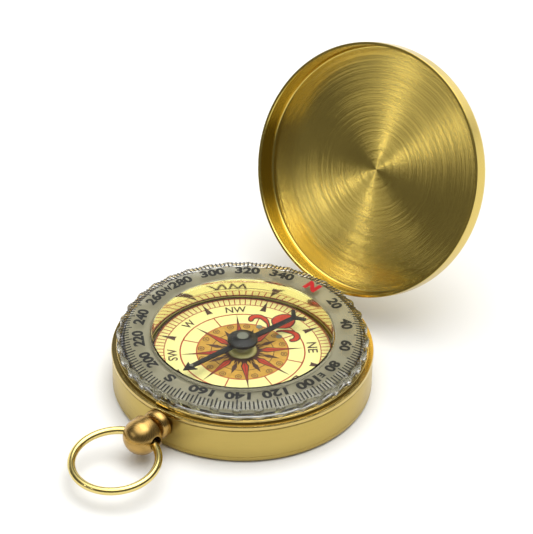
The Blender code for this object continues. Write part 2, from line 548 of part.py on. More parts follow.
def make_case_hinge():
    axis = pivot("case_hinge_axis", (0, HINGE_Y, HINGE_Z))
    out = Matrix.Translation((0, -HINGE_Y, -HINGE_Z))
    leaf_inner = CASE_RADIUS + TOUCH_GAP
    leaf = sector("hinge_case_leaf", leaf_inner, leaf_inner + LEAF_THICK,
                  HINGE_Z - CASE_LEAF_REACH - KNUCKLE_RADIUS, HINGE_Z - KNUCKLE_NOTCH, HINGE_HALF,
                  POLISHED_BRASS, axis, out)
    bore = rod("case_knuckle_bore", PIN_BORE, -2 * HINGE_HALF, 2 * HINGE_HALF, POLISHED_BRASS,
               axis, lay=SIDEWAYS)
    arm_low = -KNUCKLE_NOTCH - KNUCKLE_RADIUS
    arm_in = math.sqrt(CASE_RADIUS ** 2 - CASE_KNUCKLE_IN ** 2) + TOUCH_GAP - HINGE_Y
    inset = 0.05 * MM
    for side, start, end in ((-1, -HINGE_HALF, -CASE_KNUCKLE_IN), (1, SPRING_END, HINGE_HALF)):
        knuckle = rod(f"case_knuckle_{side}", KNUCKLE_RADIUS, start, end, POLISHED_BRASS, axis, lay=SIDEWAYS)
        arm = block(f"case_knuckle_arm_{side}", (start + inset, arm_in, arm_low),
                    (end - inset, arm_in + LEAF_THICK + inset, -inset), POLISHED_BRASS, axis)
        combine(leaf, arm, "UNION")
        combine(leaf, knuckle, "UNION")
    combine(leaf, bore, "DIFFERENCE")
    rod("hinge_pin", PIN_RADIUS, -HINGE_HALF - FINE_GAP, HINGE_HALF + FINE_GAP, SPRING_STEEL,
        axis, lay=SIDEWAYS)
    along = pivot("hinge_spring_axis", (0, 0, 0), math.pi / 2, "Y", axis)
    coil("hinge_spring", PIN_RADIUS + RUN_GAP + 2 * HINGE_WIRE_RADIUS, HINGE_WIRE_RADIUS,
         CASE_KNUCKLE_IN, SPRING_END - FINE_GAP, HINGE_SPRING_TURNS, SPRING_STEEL, along)


# ---- pendant, crown and catch -------------------------------------------------------
def make_pendant():
    mouth = COLLAR_OUTER_FACE
    outline = [(COLLAR_BORE, mouth), (0.72 * COLLAR_RADIUS, mouth),
               (0.93 * COLLAR_RADIUS, mouth - 0.3 * COLLAR_FLANGE),
               (COLLAR_RADIUS, mouth - 0.7 * COLLAR_FLANGE),
               (COLLAR_RADIUS, COLLAR_FACE), (COLLAR_TUBE_RADIUS, COLLAR_FACE),
               (COLLAR_TUBE_RADIUS, COLLAR_TUBE_END), (STEM_HOLE, COLLAR_TUBE_END),
               (STEM_HOLE, COLLAR_TUBE_END + COLLAR_END_WALL),
               (COLLAR_BORE, COLLAR_TUBE_END + COLLAR_END_WALL)]
    turned("pendant_collar", outline, CROWN_BRASS, 36, lay=AT_CROWN @ OUTWARD)
    nut_face = math.sqrt(CASE_INNER ** 2 - NUT_RADIUS ** 2) - TOUCH_GAP
    hex_nut("collar_nut", NUT_RADIUS, COLLAR_TUBE_RADIUS + FINE_GAP, nut_face - NUT_THICK, nut_face,
            None, AT_CROWN @ OUTWARD)


def make_crown():
    """Every crown piece is turned about Z from the crown's own centre, then laid along -Y."""
    axis = pivot("crown_axis", (0, -CROWN_REACH, CROWN_HEIGHT))
    from_case = OUTWARD @ Matrix.Translation((0, 0, -CROWN_REACH))
    bore = STEM_RADIUS + FINE_GAP
    shoulder = CROWN_SHOULDER
    outline = [(0, CROWN_REACH + CROWN_RADIUS)]
    outline += arc((0, CROWN_REACH), CROWN_RADIUS, 90, 0, 8)[1:]
    outline += [(CROWN_RADIUS, shoulder + 0.3 * MM), (CROWN_RADIUS - 0.4 * MM, shoulder),
                (CROWN_NECK_RADIUS, shoulder - 0.1 * MM), (CROWN_NECK_RADIUS, NECK_END), (bore, NECK_END),
                (bore, STEM_OUTER_END + FINE_GAP), (0, STEM_OUTER_END + FINE_GAP)]
    crown = turned("crown_ball", outline, CROWN_BRASS, 36, axis, from_case)
    hole = rod("bow_hole", BOW_HOLE_RADIUS, -2 * CROWN_RADIUS, 2 * CROWN_RADIUS, CROWN_BRASS,
               axis, lay=SIDEWAYS)
    combine(crown, hole, "DIFFERENCE")
    rod("crown_stem", STEM_RADIUS, STEM_INNER_END, STEM_OUTER_END, SPRING_STEEL, axis, 20, from_case)
    along = pivot("crown_spring_axis", (0, CROWN_REACH, 0), math.pi / 2, "X", axis)
    spring_radius = (STEM_HOLE + COLLAR_BORE) / 2
    coil("crown_spring", spring_radius, CROWN_WIRE_RADIUS, COLLAR_TUBE_END + COLLAR_END_WALL + FINE_GAP,
         NECK_END - FINE_GAP, CROWN_SPRING_TURNS, SPRING_STEEL, along)
    make_catch(axis, from_case)
    bow_axis = pivot("bow_axis", (0, 0, 0), BOW_DROOP, "X", axis)
    make_bow(bow_axis)


def make_catch(axis, from_case):
    """A bent strip on the stem: an upright, and a nose that reaches out through the collar."""
    half = CATCH_WIDTH / 2
    lift = -CROWN_HEIGHT
    foot = -2.2 * STEM_RADIUS
    catch = block("lid_catch", (-half, CROWN_REACH - CATCH_OUTER_FACE, foot),
                  (half, CROWN_REACH - CATCH_INNER_FACE, CATCH_NOSE_TOP + lift), SPRING_STEEL, axis)
    nose = block("catch_nose", (-half, CROWN_REACH - CATCH_TIP, CATCH_NOSE_BOTTOM + lift),
                 (half, CROWN_REACH - CATCH_INNER_FACE - 0.1 * MM, CATCH_NOSE_TOP + lift - 0.01 * MM),
                 SPRING_STEEL, axis)
    eye = rod("catch_eye", STEM_RADIUS + FINE_GAP, CATCH_INNER_FACE - CASE_WALL, CATCH_OUTER_FACE + CASE_WALL,
              SPRING_STEEL, axis, 24, from_case)
    combine(catch, nose, "UNION")
    combine(catch, eye, "DIFFERENCE")
    nut_face = CATCH_INNER_FACE - FINE_GAP
    hex_nut("catch_nut", CATCH_NUT_RADIUS, STEM_RADIUS + FINE_GAP, nut_face - CATCH_NUT_THICK, nut_face,
            axis, from_case)


def make_bow(bow_axis):
    bm = bmesh.new()
    bmesh.ops.create_circle(bm, segments=10, radius=BOW_WIRE_RADIUS)
    bmesh.ops.rotate(bm, verts=bm.verts, cent=(0, 0, 0), matrix=Matrix.Rotation(math.pi / 2, 3, "X"))
    bmesh.ops.translate(bm, vec=(BOW_RING_RADIUS, 0, 0), verts=bm.verts)
    bmesh.ops.spin(bm, geom=bm.verts[:] + bm.edges[:], cent=(0, 0, 0), axis=(0, 0, 1),
                   angle=math.tau, steps=56, use_merge=True)
    place("bow_ring", bm, POLISHED_BRASS, bow_axis, Matrix.Translation((0, -BOW_OFFSET, 0)))


make_base_shell()
make_rim_ring()
make_capsule()
make_needle()
make_bezel()
make_lid()
make_case_hinge()
make_pendant()
make_crown()
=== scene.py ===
import json
import math
import random

import bmesh
import bpy
from mathutils import Matrix, Vector


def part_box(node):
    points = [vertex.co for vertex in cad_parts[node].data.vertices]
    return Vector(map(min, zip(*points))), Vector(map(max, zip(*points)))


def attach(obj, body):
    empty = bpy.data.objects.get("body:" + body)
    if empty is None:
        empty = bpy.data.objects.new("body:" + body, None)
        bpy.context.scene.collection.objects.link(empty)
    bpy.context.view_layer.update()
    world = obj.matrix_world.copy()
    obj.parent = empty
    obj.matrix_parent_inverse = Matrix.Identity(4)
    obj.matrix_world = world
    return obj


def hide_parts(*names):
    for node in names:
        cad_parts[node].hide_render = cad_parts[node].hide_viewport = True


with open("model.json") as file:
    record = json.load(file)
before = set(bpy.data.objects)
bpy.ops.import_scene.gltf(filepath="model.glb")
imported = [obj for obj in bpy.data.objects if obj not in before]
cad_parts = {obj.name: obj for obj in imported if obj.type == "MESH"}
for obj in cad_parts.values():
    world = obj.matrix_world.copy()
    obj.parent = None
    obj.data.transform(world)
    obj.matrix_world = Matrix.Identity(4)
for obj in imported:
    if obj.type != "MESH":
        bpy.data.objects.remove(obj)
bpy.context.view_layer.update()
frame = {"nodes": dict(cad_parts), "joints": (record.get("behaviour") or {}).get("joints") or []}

MM = 0.001


# ---- camera and light -----------------------------------------------------------------
# A long lens on a stand, looking down over the crown's side of the case. The room is bright
# above and beyond the case, and two soft boxes draw the fans on the lid's brushed floor.
CAMERA_PLACE = Vector((260.38, -338.19, 330.03)) * MM
CAMERA_AIM = Vector((-0.4908, 0.6510, -0.5790))
CAMERA_UP = Vector((-0.3609, 0.4530, 0.8152))
SCENE_MIDDLE = Vector((0, 10, 15)) * MM


def aimed(place, aim, up):
    """A place and a turn that look along aim, as cameras and lamps do."""
    back = -aim.normalized()
    right = up.cross(back).normalized()
    turn = Matrix((right, back.cross(right), back)).transposed().to_4x4()
    return Matrix.Translation(place) @ turn


camera = bpy.data.objects.new("camera", bpy.data.cameras.new("camera"))
camera.data.lens = 189.05
camera.data.sensor_width = 36
camera.data.clip_start = 0.01
camera.data.clip_end = 10
camera.matrix_world = aimed(CAMERA_PLACE, CAMERA_AIM, CAMERA_UP)
bpy.context.scene.collection.objects.link(camera)
bpy.context.scene.camera = camera
bpy.context.scene.view_settings.view_transform = "Standard"


def soft_box(name, direction, distance, width, height, power, target=SCENE_MIDDLE):
    """An area lamp that hangs in a direction from its target and looks at it."""
    lamp = bpy.data.lights.new(name, "AREA")
    lamp.shape = "RECTANGLE"
    lamp.size = width
    lamp.size_y = height
    lamp.energy = power
    made = bpy.data.objects.new(name, lamp)
    away = Vector(direction).normalized()
    made.matrix_world = aimed(target + away * distance, -away, Vector((0, 0.001, 1)))
    bpy.context.scene.collection.objects.link(made)


LID_MIDDLE = Vector((0, 42.5, 26.8)) * MM
BOX_DISTANCE = 0.9
FAN_BOX_WIDTH = 0.035
FAN_BOX_HEIGHT = 0.12
FAN_BOX_POWER = 0.16
for box, direction in (("box_left", (-0.478, -0.757, 0.445)), ("box_front", (-0.262, -0.870, 0.417))):
    soft_box(box, direction, BOX_DISTANCE, FAN_BOX_WIDTH, FAN_BOX_HEIGHT, FAN_BOX_POWER, LID_MIDDLE)
soft_box("box_above", (0.1, 0.25, 1.0), BOX_DISTANCE, 0.9, 0.7, 3.5)


class Value:
    """One output of a shader node. Arithmetic on it adds Math nodes."""

    def __init__(self, finish, socket):
        self.finish = finish
        self.socket = socket

    def math(self, operation, *terms):
        return self.finish.node("ShaderNodeMath", {"operation": operation}, dict(enumerate(terms)))

    def __add__(self, other):
        return self.math("ADD", self, other)

    def __radd__(self, other):
        return self.math("ADD", other, self)

    def __sub__(self, other):
        return self.math("SUBTRACT", self, other)

    def __rsub__(self, other):
        return self.math("SUBTRACT", other, self)

    def __mul__(self, other):
        return self.math("MULTIPLY", self, other)

    def __rmul__(self, other):
        return self.math("MULTIPLY", other, self)

    def step(self, start, end):
        """0 up to start, 1 from end on, and smooth between them."""
        settings = {"interpolation_type": "SMOOTHSTEP"}
        values = {"Value": self, "From Min": start, "From Max": end}
        return self.finish.node("ShaderNodeMapRange", settings, values)


class Nodes:
    """A tree of shader nodes, and the one way that its nodes are made."""

    def __init__(self, tree):
        self.tree = tree

    def set(self, node, values):
        for key, value in values.items():
            socket = node.inputs[key]
            if isinstance(value, Value):
                self.tree.links.new(value.socket, socket)
            else:
                colour = socket.type == "RGBA" and len(value) == 3
                socket.default_value = (*value, 1.0) if colour else value

    def node(self, kind, settings, values, output=0):
        made = self.tree.nodes.new(kind)
        for key, value in settings.items():
            if key == "stops":
                ramp = made.color_ramp.elements
                while len(ramp) < len(value):
                    ramp.new(0.5)
                for element, (position, colour) in zip(ramp, value):
                    element.position = position
                    element.color = (*colour, 1.0)
            else:
                setattr(made, key, value)
        self.set(made, values)
        return Value(self, made.outputs[output])


SKY_LOW = 0.13
SKY_RISE = 2.15
SKY_FAR = 1.3
BEYOND = (-0.602, 0.798, 0)
world = bpy.data.worlds.new("studio")
world.use_nodes = True
sky = Nodes(world.node_tree)
looking = sky.node("ShaderNodeTexCoord", {}, {}, "Generated")
upward = sky.node("ShaderNodeSeparateXYZ", {}, {"Vector": looking}, "Z")
beyond = sky.node("ShaderNodeVectorMath", {"operation": "DOT_PRODUCT"}, {0: looking, 1: BEYOND}, "Value")
far_wall = beyond.step(0.35, 0.8) * (1 - upward.step(0.40, 0.52))
strength = SKY_LOW + SKY_RISE * upward.step(0.66, 0.94) + SKY_FAR * far_wall
sky.set(world.node_tree.nodes["Background"], {"Color": (1.0, 0.995, 0.98), "Strength": strength})
bpy.context.scene.world = world


# ---- floor ----------------------------------------------------------------------------
# The table that the case rests on: a wide sheet of matt white card. It is there for the
# light and the shadow, and isn't a part of the object.
class Finish(Nodes):
    """A material on one Principled shader."""

    def __init__(self, name, constants):
        self.material = bpy.data.materials.new(name)
        self.material.use_nodes = True
        super().__init__(self.material.node_tree)
        self.shader = self.tree.nodes["Principled BSDF"]
        self.set(self.shader, constants)

    def vary(self, **values):
        """Feeds what changes over the surface, such as base_color, roughness or normal."""
        self.set(self.shader, {key.replace("_", " ").title(): value for key, value in values.items()})

    def place(self, scale=(1, 1, 1), closing=None):
        """Object coordinates, or those of a piece that closing brings back upright."""
        here = self.node("ShaderNodeTexCoord", {}, {}, "Object")
        values = {"Vector": here, "Scale": scale}
        if closing is not None:
            upright = self.node("ShaderNodeMapping", {"vector_type": "POINT"}, {
                "Vector": here, "Location": closing.translation, "Rotation": closing.to_euler()})
            values["Vector"] = upright
        return self.node("ShaderNodeMapping", {"vector_type": "POINT"}, values)

    def noise(self, where, scale, detail=2.0, roughness=0.5):
        return self.node("ShaderNodeTexNoise", {}, {
            "Vector": where, "Scale": scale, "Detail": detail, "Roughness": roughness})

    def lines(self, along, pitch):
        """Fine random lines across one coordinate, about a pitch apart."""
        return self.node("ShaderNodeTexNoise", {"noise_dimensions": "1D"}, {
            "W": along * (1 / pitch), "Scale": 1.0, "Detail": 3.0, "Roughness": 0.6})

    def mix(self, share, first, second):
        return self.node("ShaderNodeMix", {"data_type": "RGBA"}, {0: share, 6: first, 7: second}, 2)

    def bump(self, height, depth, strength=1.0):
        return self.node("ShaderNodeBump", {}, {
            "Strength": strength, "Distance": depth, "Height": height})

    def part(self, where, axis):
        return self.node("ShaderNodeSeparateXYZ", {}, {"Vector": where}, axis)

    def radius(self, where):
        flat = self.node("ShaderNodeVectorMath", {"operation": "MULTIPLY"}, {0: where, 1: (1, 1, 0)})
        return self.node("ShaderNodeVectorMath", {"operation": "LENGTH"}, {0: flat}, "Value")


MERGE = 0.0004 * MM
SHARP_FROM = 32
FLOOR_DROP = 0.02 * MM
FLOOR_HALF = 3.0


def kept(name, bm, finish, body, lay=None, sharp=SHARP_FROM):
    """A finished piece of a bmesh: doubles merged, faces outwards, riding on its body."""
    bmesh.ops.remove_doubles(bm, verts=bm.verts, dist=MERGE)
    bmesh.ops.recalc_face_normals(bm, faces=bm.faces)
    if lay is not None:
        bmesh.ops.transform(bm, matrix=lay, verts=bm.verts)
    mesh = bpy.data.meshes.new(name)
    bm.to_mesh(mesh)
    bm.free()
    mesh.shade_smooth()
    mesh.set_sharp_from_angle(angle=math.radians(sharp))
    mesh.materials.append(finish.material)
    made = bpy.data.objects.new(name, mesh)
    bpy.context.scene.collection.objects.link(made)
    if body is not None:
        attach(made, body)
    return made


card = Finish("white_card", {"Roughness": 0.9, "Specular IOR Level": 0.1})
card.vary(base_color=card.mix(card.noise(card.place(), 60), (0.90, 0.90, 0.89), (0.93, 0.93, 0.92)))
floor = bmesh.new()
bmesh.ops.create_grid(floor, x_segments=1, y_segments=1, size=FLOOR_HALF)
bmesh.ops.translate(floor, verts=floor.verts, vec=(0, 0, -FLOOR_DROP))
kept("floor", floor, card, None)


# ---- case cup -------------------------------------------------------------------------
# The body of the case is a cup spun from brass sheet, with a rounded foot and a scribed
# line above it. It was brushed while it turned, so its grain runs round the wall.
CUP_WALL = 0.7 * MM
CUP_FLOOR = 0.8 * MM
CUP_FOOT_ROUND = 0.9 * MM
CUP_LIP_ROUND = 0.12 * MM
SCRIBED_LINE_HEIGHT = 1.35 * MM
SCRIBED_LINE_DEPTH = 0.07 * MM
HINGE_BAY_RADIUS = 1.05 * MM
HINGE_BAY_HALF = 5.0 * MM
TUBE_HOLE = 2.35 * MM
TUBE_HOLE_INNER = 23.0 * MM
TUBE_HOLE_OUTER = 26.0 * MM
FINE_STEPS = 240
SATIN_LIGHT = (0.53, 0.40, 0.12)
SATIN_DARK = (0.42, 0.31, 0.085)


def arc(centre, radius, first, last, steps):
    """Points (radius, height) round a centre. The angles are degrees from straight out."""
    angles = [math.radians(first + (last - first) * step / steps) for step in range(steps + 1)]
    return [(centre[0] + radius * math.cos(a), centre[1] + radius * math.sin(a)) for a in angles]


def turn(bm, outline, steps=FINE_STEPS, closed=True):
    """Spins an outline of (radius, height) points about Z. Off the axis it may close on itself."""
    points = [bm.verts.new((radius, 0, height)) for radius, height in outline]
    edges = [bm.edges.new(pair) for pair in zip(points, points[1:])]
    if closed and (outline[0][0] > 0 or outline[-1][0] > 0):
        edges.append(bm.edges.new((points[-1], points[0])))
    bmesh.ops.spin(bm, geom=points + edges, cent=(0, 0, 0), axis=(0, 0, 1),
                   angle=math.tau, steps=steps, use_merge=True)


def turned(name, outline, finish, body, lay=None, steps=FINE_STEPS):
    bm = bmesh.new()
    turn(bm, outline, steps)
    return kept(name, bm, finish, body, lay)


def cut(piece, extent, lay, kind="rod"):
    """Takes a rod (radius, start, end along Z) or a block (low, high corner) out of a piece."""
    bm = bmesh.new()
    if kind == "rod":
        radius, start, end = extent
        turn(bm, [(0, end), (radius, end), (radius, start), (0, start)], 48)
    else:
        low, high = (Vector(corner) for corner in extent)
        bmesh.ops.create_cube(bm, size=1)
        bmesh.ops.scale(bm, vec=high - low, verts=bm.verts)
        bmesh.ops.translate(bm, vec=(low + high) / 2, verts=bm.verts)
    bmesh.ops.remove_doubles(bm, verts=bm.verts, dist=MERGE)
    bmesh.ops.recalc_face_normals(bm, faces=bm.faces)
    bmesh.ops.transform(bm, matrix=lay, verts=bm.verts)
    mesh = bpy.data.meshes.new("cutter")
    bm.to_mesh(mesh)
    bm.free()
    tool = bpy.data.objects.new("cutter", mesh)
    bpy.context.scene.collection.objects.link(tool)
    modifier = piece.modifiers.new("cut", "BOOLEAN")
    modifier.operation = "DIFFERENCE"
    modifier.solver = "EXACT"
    modifier.object = tool
    graph = bpy.context.evaluated_depsgraph_get()
    piece.data = bpy.data.meshes.new_from_object(piece.evaluated_get(graph))
    piece.modifiers.clear()
    bpy.data.objects.remove(tool)
    piece.data.set_sharp_from_angle(angle=math.radians(SHARP_FROM))


def brass(name, light, dark, roughness, spread, grain, depth, anisotropic=0.0, closing=None):
    """Metal turned or brushed round its axis, with a broad tone and fine lines of grain."""
    made = Finish(name, {"Metallic": 1.0, "Anisotropic": anisotropic})
    here = made.place(closing=closing)
    along = made.radius(here) + made.part(here, "Z")
    lines = made.lines(along, grain)
    broad = made.noise(here, 90, 3)
    scuffs = made.noise(made.place((1, 1, 6), closing), 700, 4, 0.65).step(0.62, 0.78)
    made.vary(base_color=made.mix(lines * 0.6 + broad * 0.4, dark, light),
              roughness=roughness + spread * (lines - 0.5) + 0.08 * (broad - 0.5) + 0.10 * scuffs,
              normal=made.bump(lines + 0.15 * scuffs, depth, 0.6))
    return made


SIDEWAYS = Matrix.Rotation(math.radians(90), 4, "Y")
OUTWARD = Matrix.Rotation(math.radians(90), 4, "X")
joints = {joint["name"]: joint for joint in frame["joints"]}
hinge = Vector(joints["lid_hinge"]["pos_m"])
crown = Vector(joints["bow_swing"]["pos_m"])

satin_brass = brass("satin_brass", SATIN_LIGHT, SATIN_DARK, 0.30, 0.14, 0.10 * MM, 0.004 * MM, 0.55)
cup_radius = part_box("base_shell")[1].x
cup_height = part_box("base_shell")[1].z
cup_inner = cup_radius - CUP_WALL
scribed = arc((cup_radius, SCRIBED_LINE_HEIGHT), SCRIBED_LINE_DEPTH, 90, 270, 6)
cup_outline = [(0, CUP_FLOOR), (cup_inner - CUP_FLOOR, CUP_FLOOR)]
cup_outline += arc((cup_inner - CUP_FLOOR, 2 * CUP_FLOOR), CUP_FLOOR, -90, 0, 8)
cup_outline += [(cup_inner, cup_height - CUP_LIP_ROUND), (cup_inner + CUP_LIP_ROUND, cup_height)]
cup_outline += arc((cup_radius - CUP_LIP_ROUND, cup_height - CUP_LIP_ROUND), CUP_LIP_ROUND, 90, 0, 4)
cup_outline += scribed
cup_outline += arc((cup_radius - CUP_FOOT_ROUND, CUP_FOOT_ROUND), CUP_FOOT_ROUND, 0, -90, 12)
cup_outline += [(0, 0)]
case_cup = turned("case_cup", cup_outline, satin_brass, "case")
along_crown = Matrix.Translation((0, 0, crown.z)) @ OUTWARD
cut(case_cup, (HINGE_BAY_RADIUS, -HINGE_BAY_HALF, HINGE_BAY_HALF), Matrix.Translation(hinge) @ SIDEWAYS)
cut(case_cup, (TUBE_HOLE, TUBE_HOLE_INNER, TUBE_HOLE_OUTER), along_crown)
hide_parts("base_shell")


# ---- rim ring -------------------------------------------------------------------------
# A ring turned from brass bar and pressed into the cup. Its polished bead shows between
# cup and lid, and its collar guides the bezel.
BEAD_BOTTOM = cup_height + 0.15 * MM
BEAD_HALF = 0.45 * MM
COLLAR_OUTER = 24.05 * MM
COLLAR_INNER = 23.3 * MM
DECK_BORE = 18.6 * MM
DECK_THICK = 0.6 * MM
SPIGOT_DEPTH = 2.2 * MM
SPIGOT_GAP = 0.3 * MM
RIM_CORNER_ROUND = 0.15 * MM
RIM_LEAD_ROUND = 0.2 * MM
CATCH_SLOT_HALF = 1.5 * MM
CATCH_SLOT_INNER = 19.25 * MM
CATCH_SLOT_OUTER = 24.85 * MM
CATCH_SLOT_TOP = 9.9 * MM
CATCH_SLOT_RISE = 0.075 * MM
CATCH_LEG_OUTER = 21.55 * MM
NUT_BAY_RADIUS = 3.6 * MM
NUT_BAY_INNER = 21.1 * MM

polished_brass = brass("polished_brass", (0.64, 0.49, 0.18), (0.52, 0.38, 0.12), 0.16, 0.06,
                       0.25 * MM, 0.0012 * MM, 0.3)
rim_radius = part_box("rim_ring")[1].x
rim_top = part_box("rim_ring")[1].z
bead_top = BEAD_BOTTOM + 2 * BEAD_HALF
bead_reach = rim_radius - cup_radius
spigot_outer = cup_inner - SPIGOT_GAP
rim_outline = [(COLLAR_OUTER, bead_top), (cup_radius, bead_top)]
rim_outline += [(cup_radius + bead_reach * math.cos(a), BEAD_BOTTOM + BEAD_HALF * (1 + math.sin(a)))
                for a in (math.radians(80 - 20 * step) for step in range(9))]
rim_outline += [(cup_radius, BEAD_BOTTOM), (spigot_outer, BEAD_BOTTOM),
                (spigot_outer, BEAD_BOTTOM - SPIGOT_DEPTH),
                (spigot_outer - CUP_WALL, BEAD_BOTTOM - SPIGOT_DEPTH),
                (spigot_outer - CUP_WALL, bead_top - DECK_THICK), (DECK_BORE, bead_top - DECK_THICK),
                (DECK_BORE, bead_top), (COLLAR_INNER, bead_top)]
rim_outline += arc((COLLAR_INNER + RIM_CORNER_ROUND, rim_top - RIM_CORNER_ROUND),
                   RIM_CORNER_ROUND, 180, 90, 4)
rim_outline += arc((COLLAR_OUTER - RIM_LEAD_ROUND, rim_top - RIM_LEAD_ROUND), RIM_LEAD_ROUND, 90, 0, 4)
bead_ring = turned("bead_ring", rim_outline, polished_brass, "case")
upright = Matrix.Identity(4)
catch_slot_corner = (CATCH_SLOT_HALF, -CATCH_SLOT_INNER, CATCH_SLOT_TOP)
for corner in ((-CATCH_SLOT_HALF, -CATCH_SLOT_OUTER, bead_top + CATCH_SLOT_RISE),
               (-CATCH_SLOT_HALF, -CATCH_LEG_OUTER, 0)):
    cut(bead_ring, (corner, catch_slot_corner), upright, "block")
cut(bead_ring, (NUT_BAY_RADIUS, NUT_BAY_INNER, cup_inner), along_crown)
cut(bead_ring, (TUBE_HOLE, NUT_BAY_INNER, TUBE_HOLE_OUTER), along_crown)
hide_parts("rim_ring")


# ---- capsule --------------------------------------------------------------------------
# The dial sits in a bright drawn cup, whose wall mirrors the print. A black plastic ring
# holds the cup up, and a turned post with a needle point stands in its middle.
def carry(node, finish):
    """Gives a frame node that shows as it is its finish."""
    frame["nodes"][node].data.materials.clear()
    frame["nodes"][node].data.materials.append(finish.material)


bright_wall = Finish("mirror_metal", {"Metallic": 1.0, "Anisotropic": 0.0})
wall_here = bright_wall.place()
wall_lines = bright_wall.lines(bright_wall.part(wall_here, "Z"), 0.3 * MM)
wall_haze = bright_wall.noise(bright_wall.place((1, 1, 0.2)), 220, 3)
bright_wall.vary(base_color=bright_wall.mix(wall_haze, (0.93, 0.90, 0.74), (0.86, 0.81, 0.60)),
                 roughness=0.05 + 0.06 * wall_haze,
                 normal=bright_wall.bump(wall_lines + wall_haze, 0.004 * MM, 0.4))
capsule_low, capsule_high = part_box("capsule_cup")
CAPSULE_BORE = 17.7 * MM
CAPSULE_WALL = 0.6 * MM
CAPSULE_ROUND = 0.3 * MM
FLANGE_BOTTOM = 8.6 * MM
FLANGE_SLOT_OUTER = 22.2 * MM
FLANGE_SLOT_LOW = 7.9 * MM
FLANGE_SLOT_HIGH = 9.8 * MM
POST_HOLE = 0.55 * MM
capsule_outer = CAPSULE_BORE + CAPSULE_WALL
capsule_floor = capsule_low.z + CAPSULE_WALL
capsule_outline = [(POST_HOLE, capsule_floor)]
capsule_outline += arc((CAPSULE_BORE - CAPSULE_ROUND, capsule_floor + CAPSULE_ROUND),
                       CAPSULE_ROUND, -90, 0, 5)
capsule_outline += arc((CAPSULE_BORE + CAPSULE_ROUND, capsule_high.z - CAPSULE_ROUND),
                       CAPSULE_ROUND, 180, 90, 6)
capsule_outline += [(capsule_high.x, capsule_high.z), (capsule_high.x, FLANGE_BOTTOM),
                    (capsule_outer, FLANGE_BOTTOM), (capsule_outer, capsule_low.z),
                    (POST_HOLE, capsule_low.z)]
capsule = turned("dial_cup", capsule_outline, bright_wall, "case")
cut(capsule, ((-CATCH_SLOT_HALF, -FLANGE_SLOT_OUTER, FLANGE_SLOT_LOW),
              (CATCH_SLOT_HALF, -CATCH_SLOT_INNER, FLANGE_SLOT_HIGH)), upright, "block")
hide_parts("capsule_cup")

black_plastic = Finish("spacer_black", {"Specular IOR Level": 0.4})
black_grain = black_plastic.noise(black_plastic.place(), 2500, 3)
black_plastic.vary(base_color=black_plastic.mix(black_grain, (0.012, 0.012, 0.012), (0.03, 0.03, 0.03)),
                   roughness=0.42 + 0.2 * black_grain,
                   normal=black_plastic.bump(black_grain, 0.01 * MM, 0.5))
carry("capsule_spacer", black_plastic)
carry("pivot_post", polished_brass)


# ---- dial card ------------------------------------------------------------------------
# A stiff card printed in four inks on cream stock, glued to the floor of the capsule.
# Every ink is a thin layer of its own over the one before.
DIAL_NORTH = math.radians(88.5)
INK = 0.012 * MM
INK_STEP = 0.015 * MM
INK_LIFT = 0.006 * MM
CARD_EDGE = 0.03 * MM
TICK_RING_INNER = 15.0 * MM
TICK_RING_OUTER = 16.9 * MM
TICK_RING_WIDTH = 0.18 * MM
TICK_HALF = 0.095 * MM
DIAL_TICKS = 96
SPOKE_HALF = 0.12 * MM
LETTER_RADIUS = 13.4 * MM
WEDGE_FOOT = 13.35 * MM
WEDGE_TIP = 16.2 * MM
WEDGE_HALF = 0.62 * MM
LETTER_TALL = 1.85 * MM
LETTER_WEIGHT = 0.012
DIAL_LETTERS = (("W", -90, 2.5), ("NW", -45, 4.0), ("NE", 45, 3.3), ("E", 90, 1.5), ("SE", 135, 2.9),
                ("S", 180, 1.5), ("SW", -135, 3.6))
RED_RING_RADIUS = 11.9 * MM
RED_RING_WIDTH = 0.28 * MM
GOLD_RADIUS = 8.79 * MM
GOLD_EDGE_WIDTH = 0.24 * MM
POINT_REACH = 11.7 * MM
SPIRAL_RADIUS = 7.95 * MM


def ink(name, colour, shade, roughness=0.55):
    """Printing ink, a little uneven, with the tooth of the card under it."""
    made = Finish(name, {"Specular IOR Level": 0.3})
    here = made.place()
    patches = made.noise(here, 900, 4)
    tooth = made.noise(here, 6000, 2)
    made.vary(base_color=made.mix(patches.step(0.3, 0.75), colour, shade),
              roughness=roughness + 0.15 * (tooth - 0.5),
              normal=made.bump(tooth, 0.004 * MM, 0.3))
    return made


def tile(bm, outline, level, lay=None, thick=INK):
    """A thin flat piece of an outline in XY, from level up."""
    face = bm.faces.new([bm.verts.new((x, y, level)) for x, y in outline])
    grown = bmesh.ops.extrude_face_region(bm, geom=[face])["geom"]
    raised = [part for part in grown if isinstance(part, bmesh.types.BMVert)]
    bmesh.ops.translate(bm, vec=(0, 0, thick), verts=raised)
    corners = list(face.verts) + raised
    if lay is not None:
        bmesh.ops.transform(bm, matrix=lay, verts=list(dict.fromkeys(corners)))


def ring(bm, inner, outer, level, lay=None, steps=FINE_STEPS, thick=INK):
    """A thin flat ring, from level up."""
    part = bmesh.new()
    turn(part, [(inner, level), (outer, level), (outer, level + thick), (inner, level + thick)], steps)
    if lay is not None:
        bmesh.ops.transform(part, matrix=lay, verts=part.verts)
    join(bm, part)


def join(bm, part):
    """Moves a finished bmesh into another."""
    bmesh.ops.remove_doubles(part, verts=part.verts, dist=MERGE)
    mesh = bpy.data.meshes.new("part")
    part.to_mesh(mesh)
    part.free()
    bm.from_mesh(mesh)
    bpy.data.meshes.remove(mesh)


def bearing(north, degrees, reach=0.0):
    """Clockwise from a north: turns +Y to the bearing and moves out along it."""
    turned_to = Matrix.Rotation(north - math.pi / 2 - math.radians(degrees), 4, "Z")
    return turned_to @ Matrix.Translation((0, reach, 0))


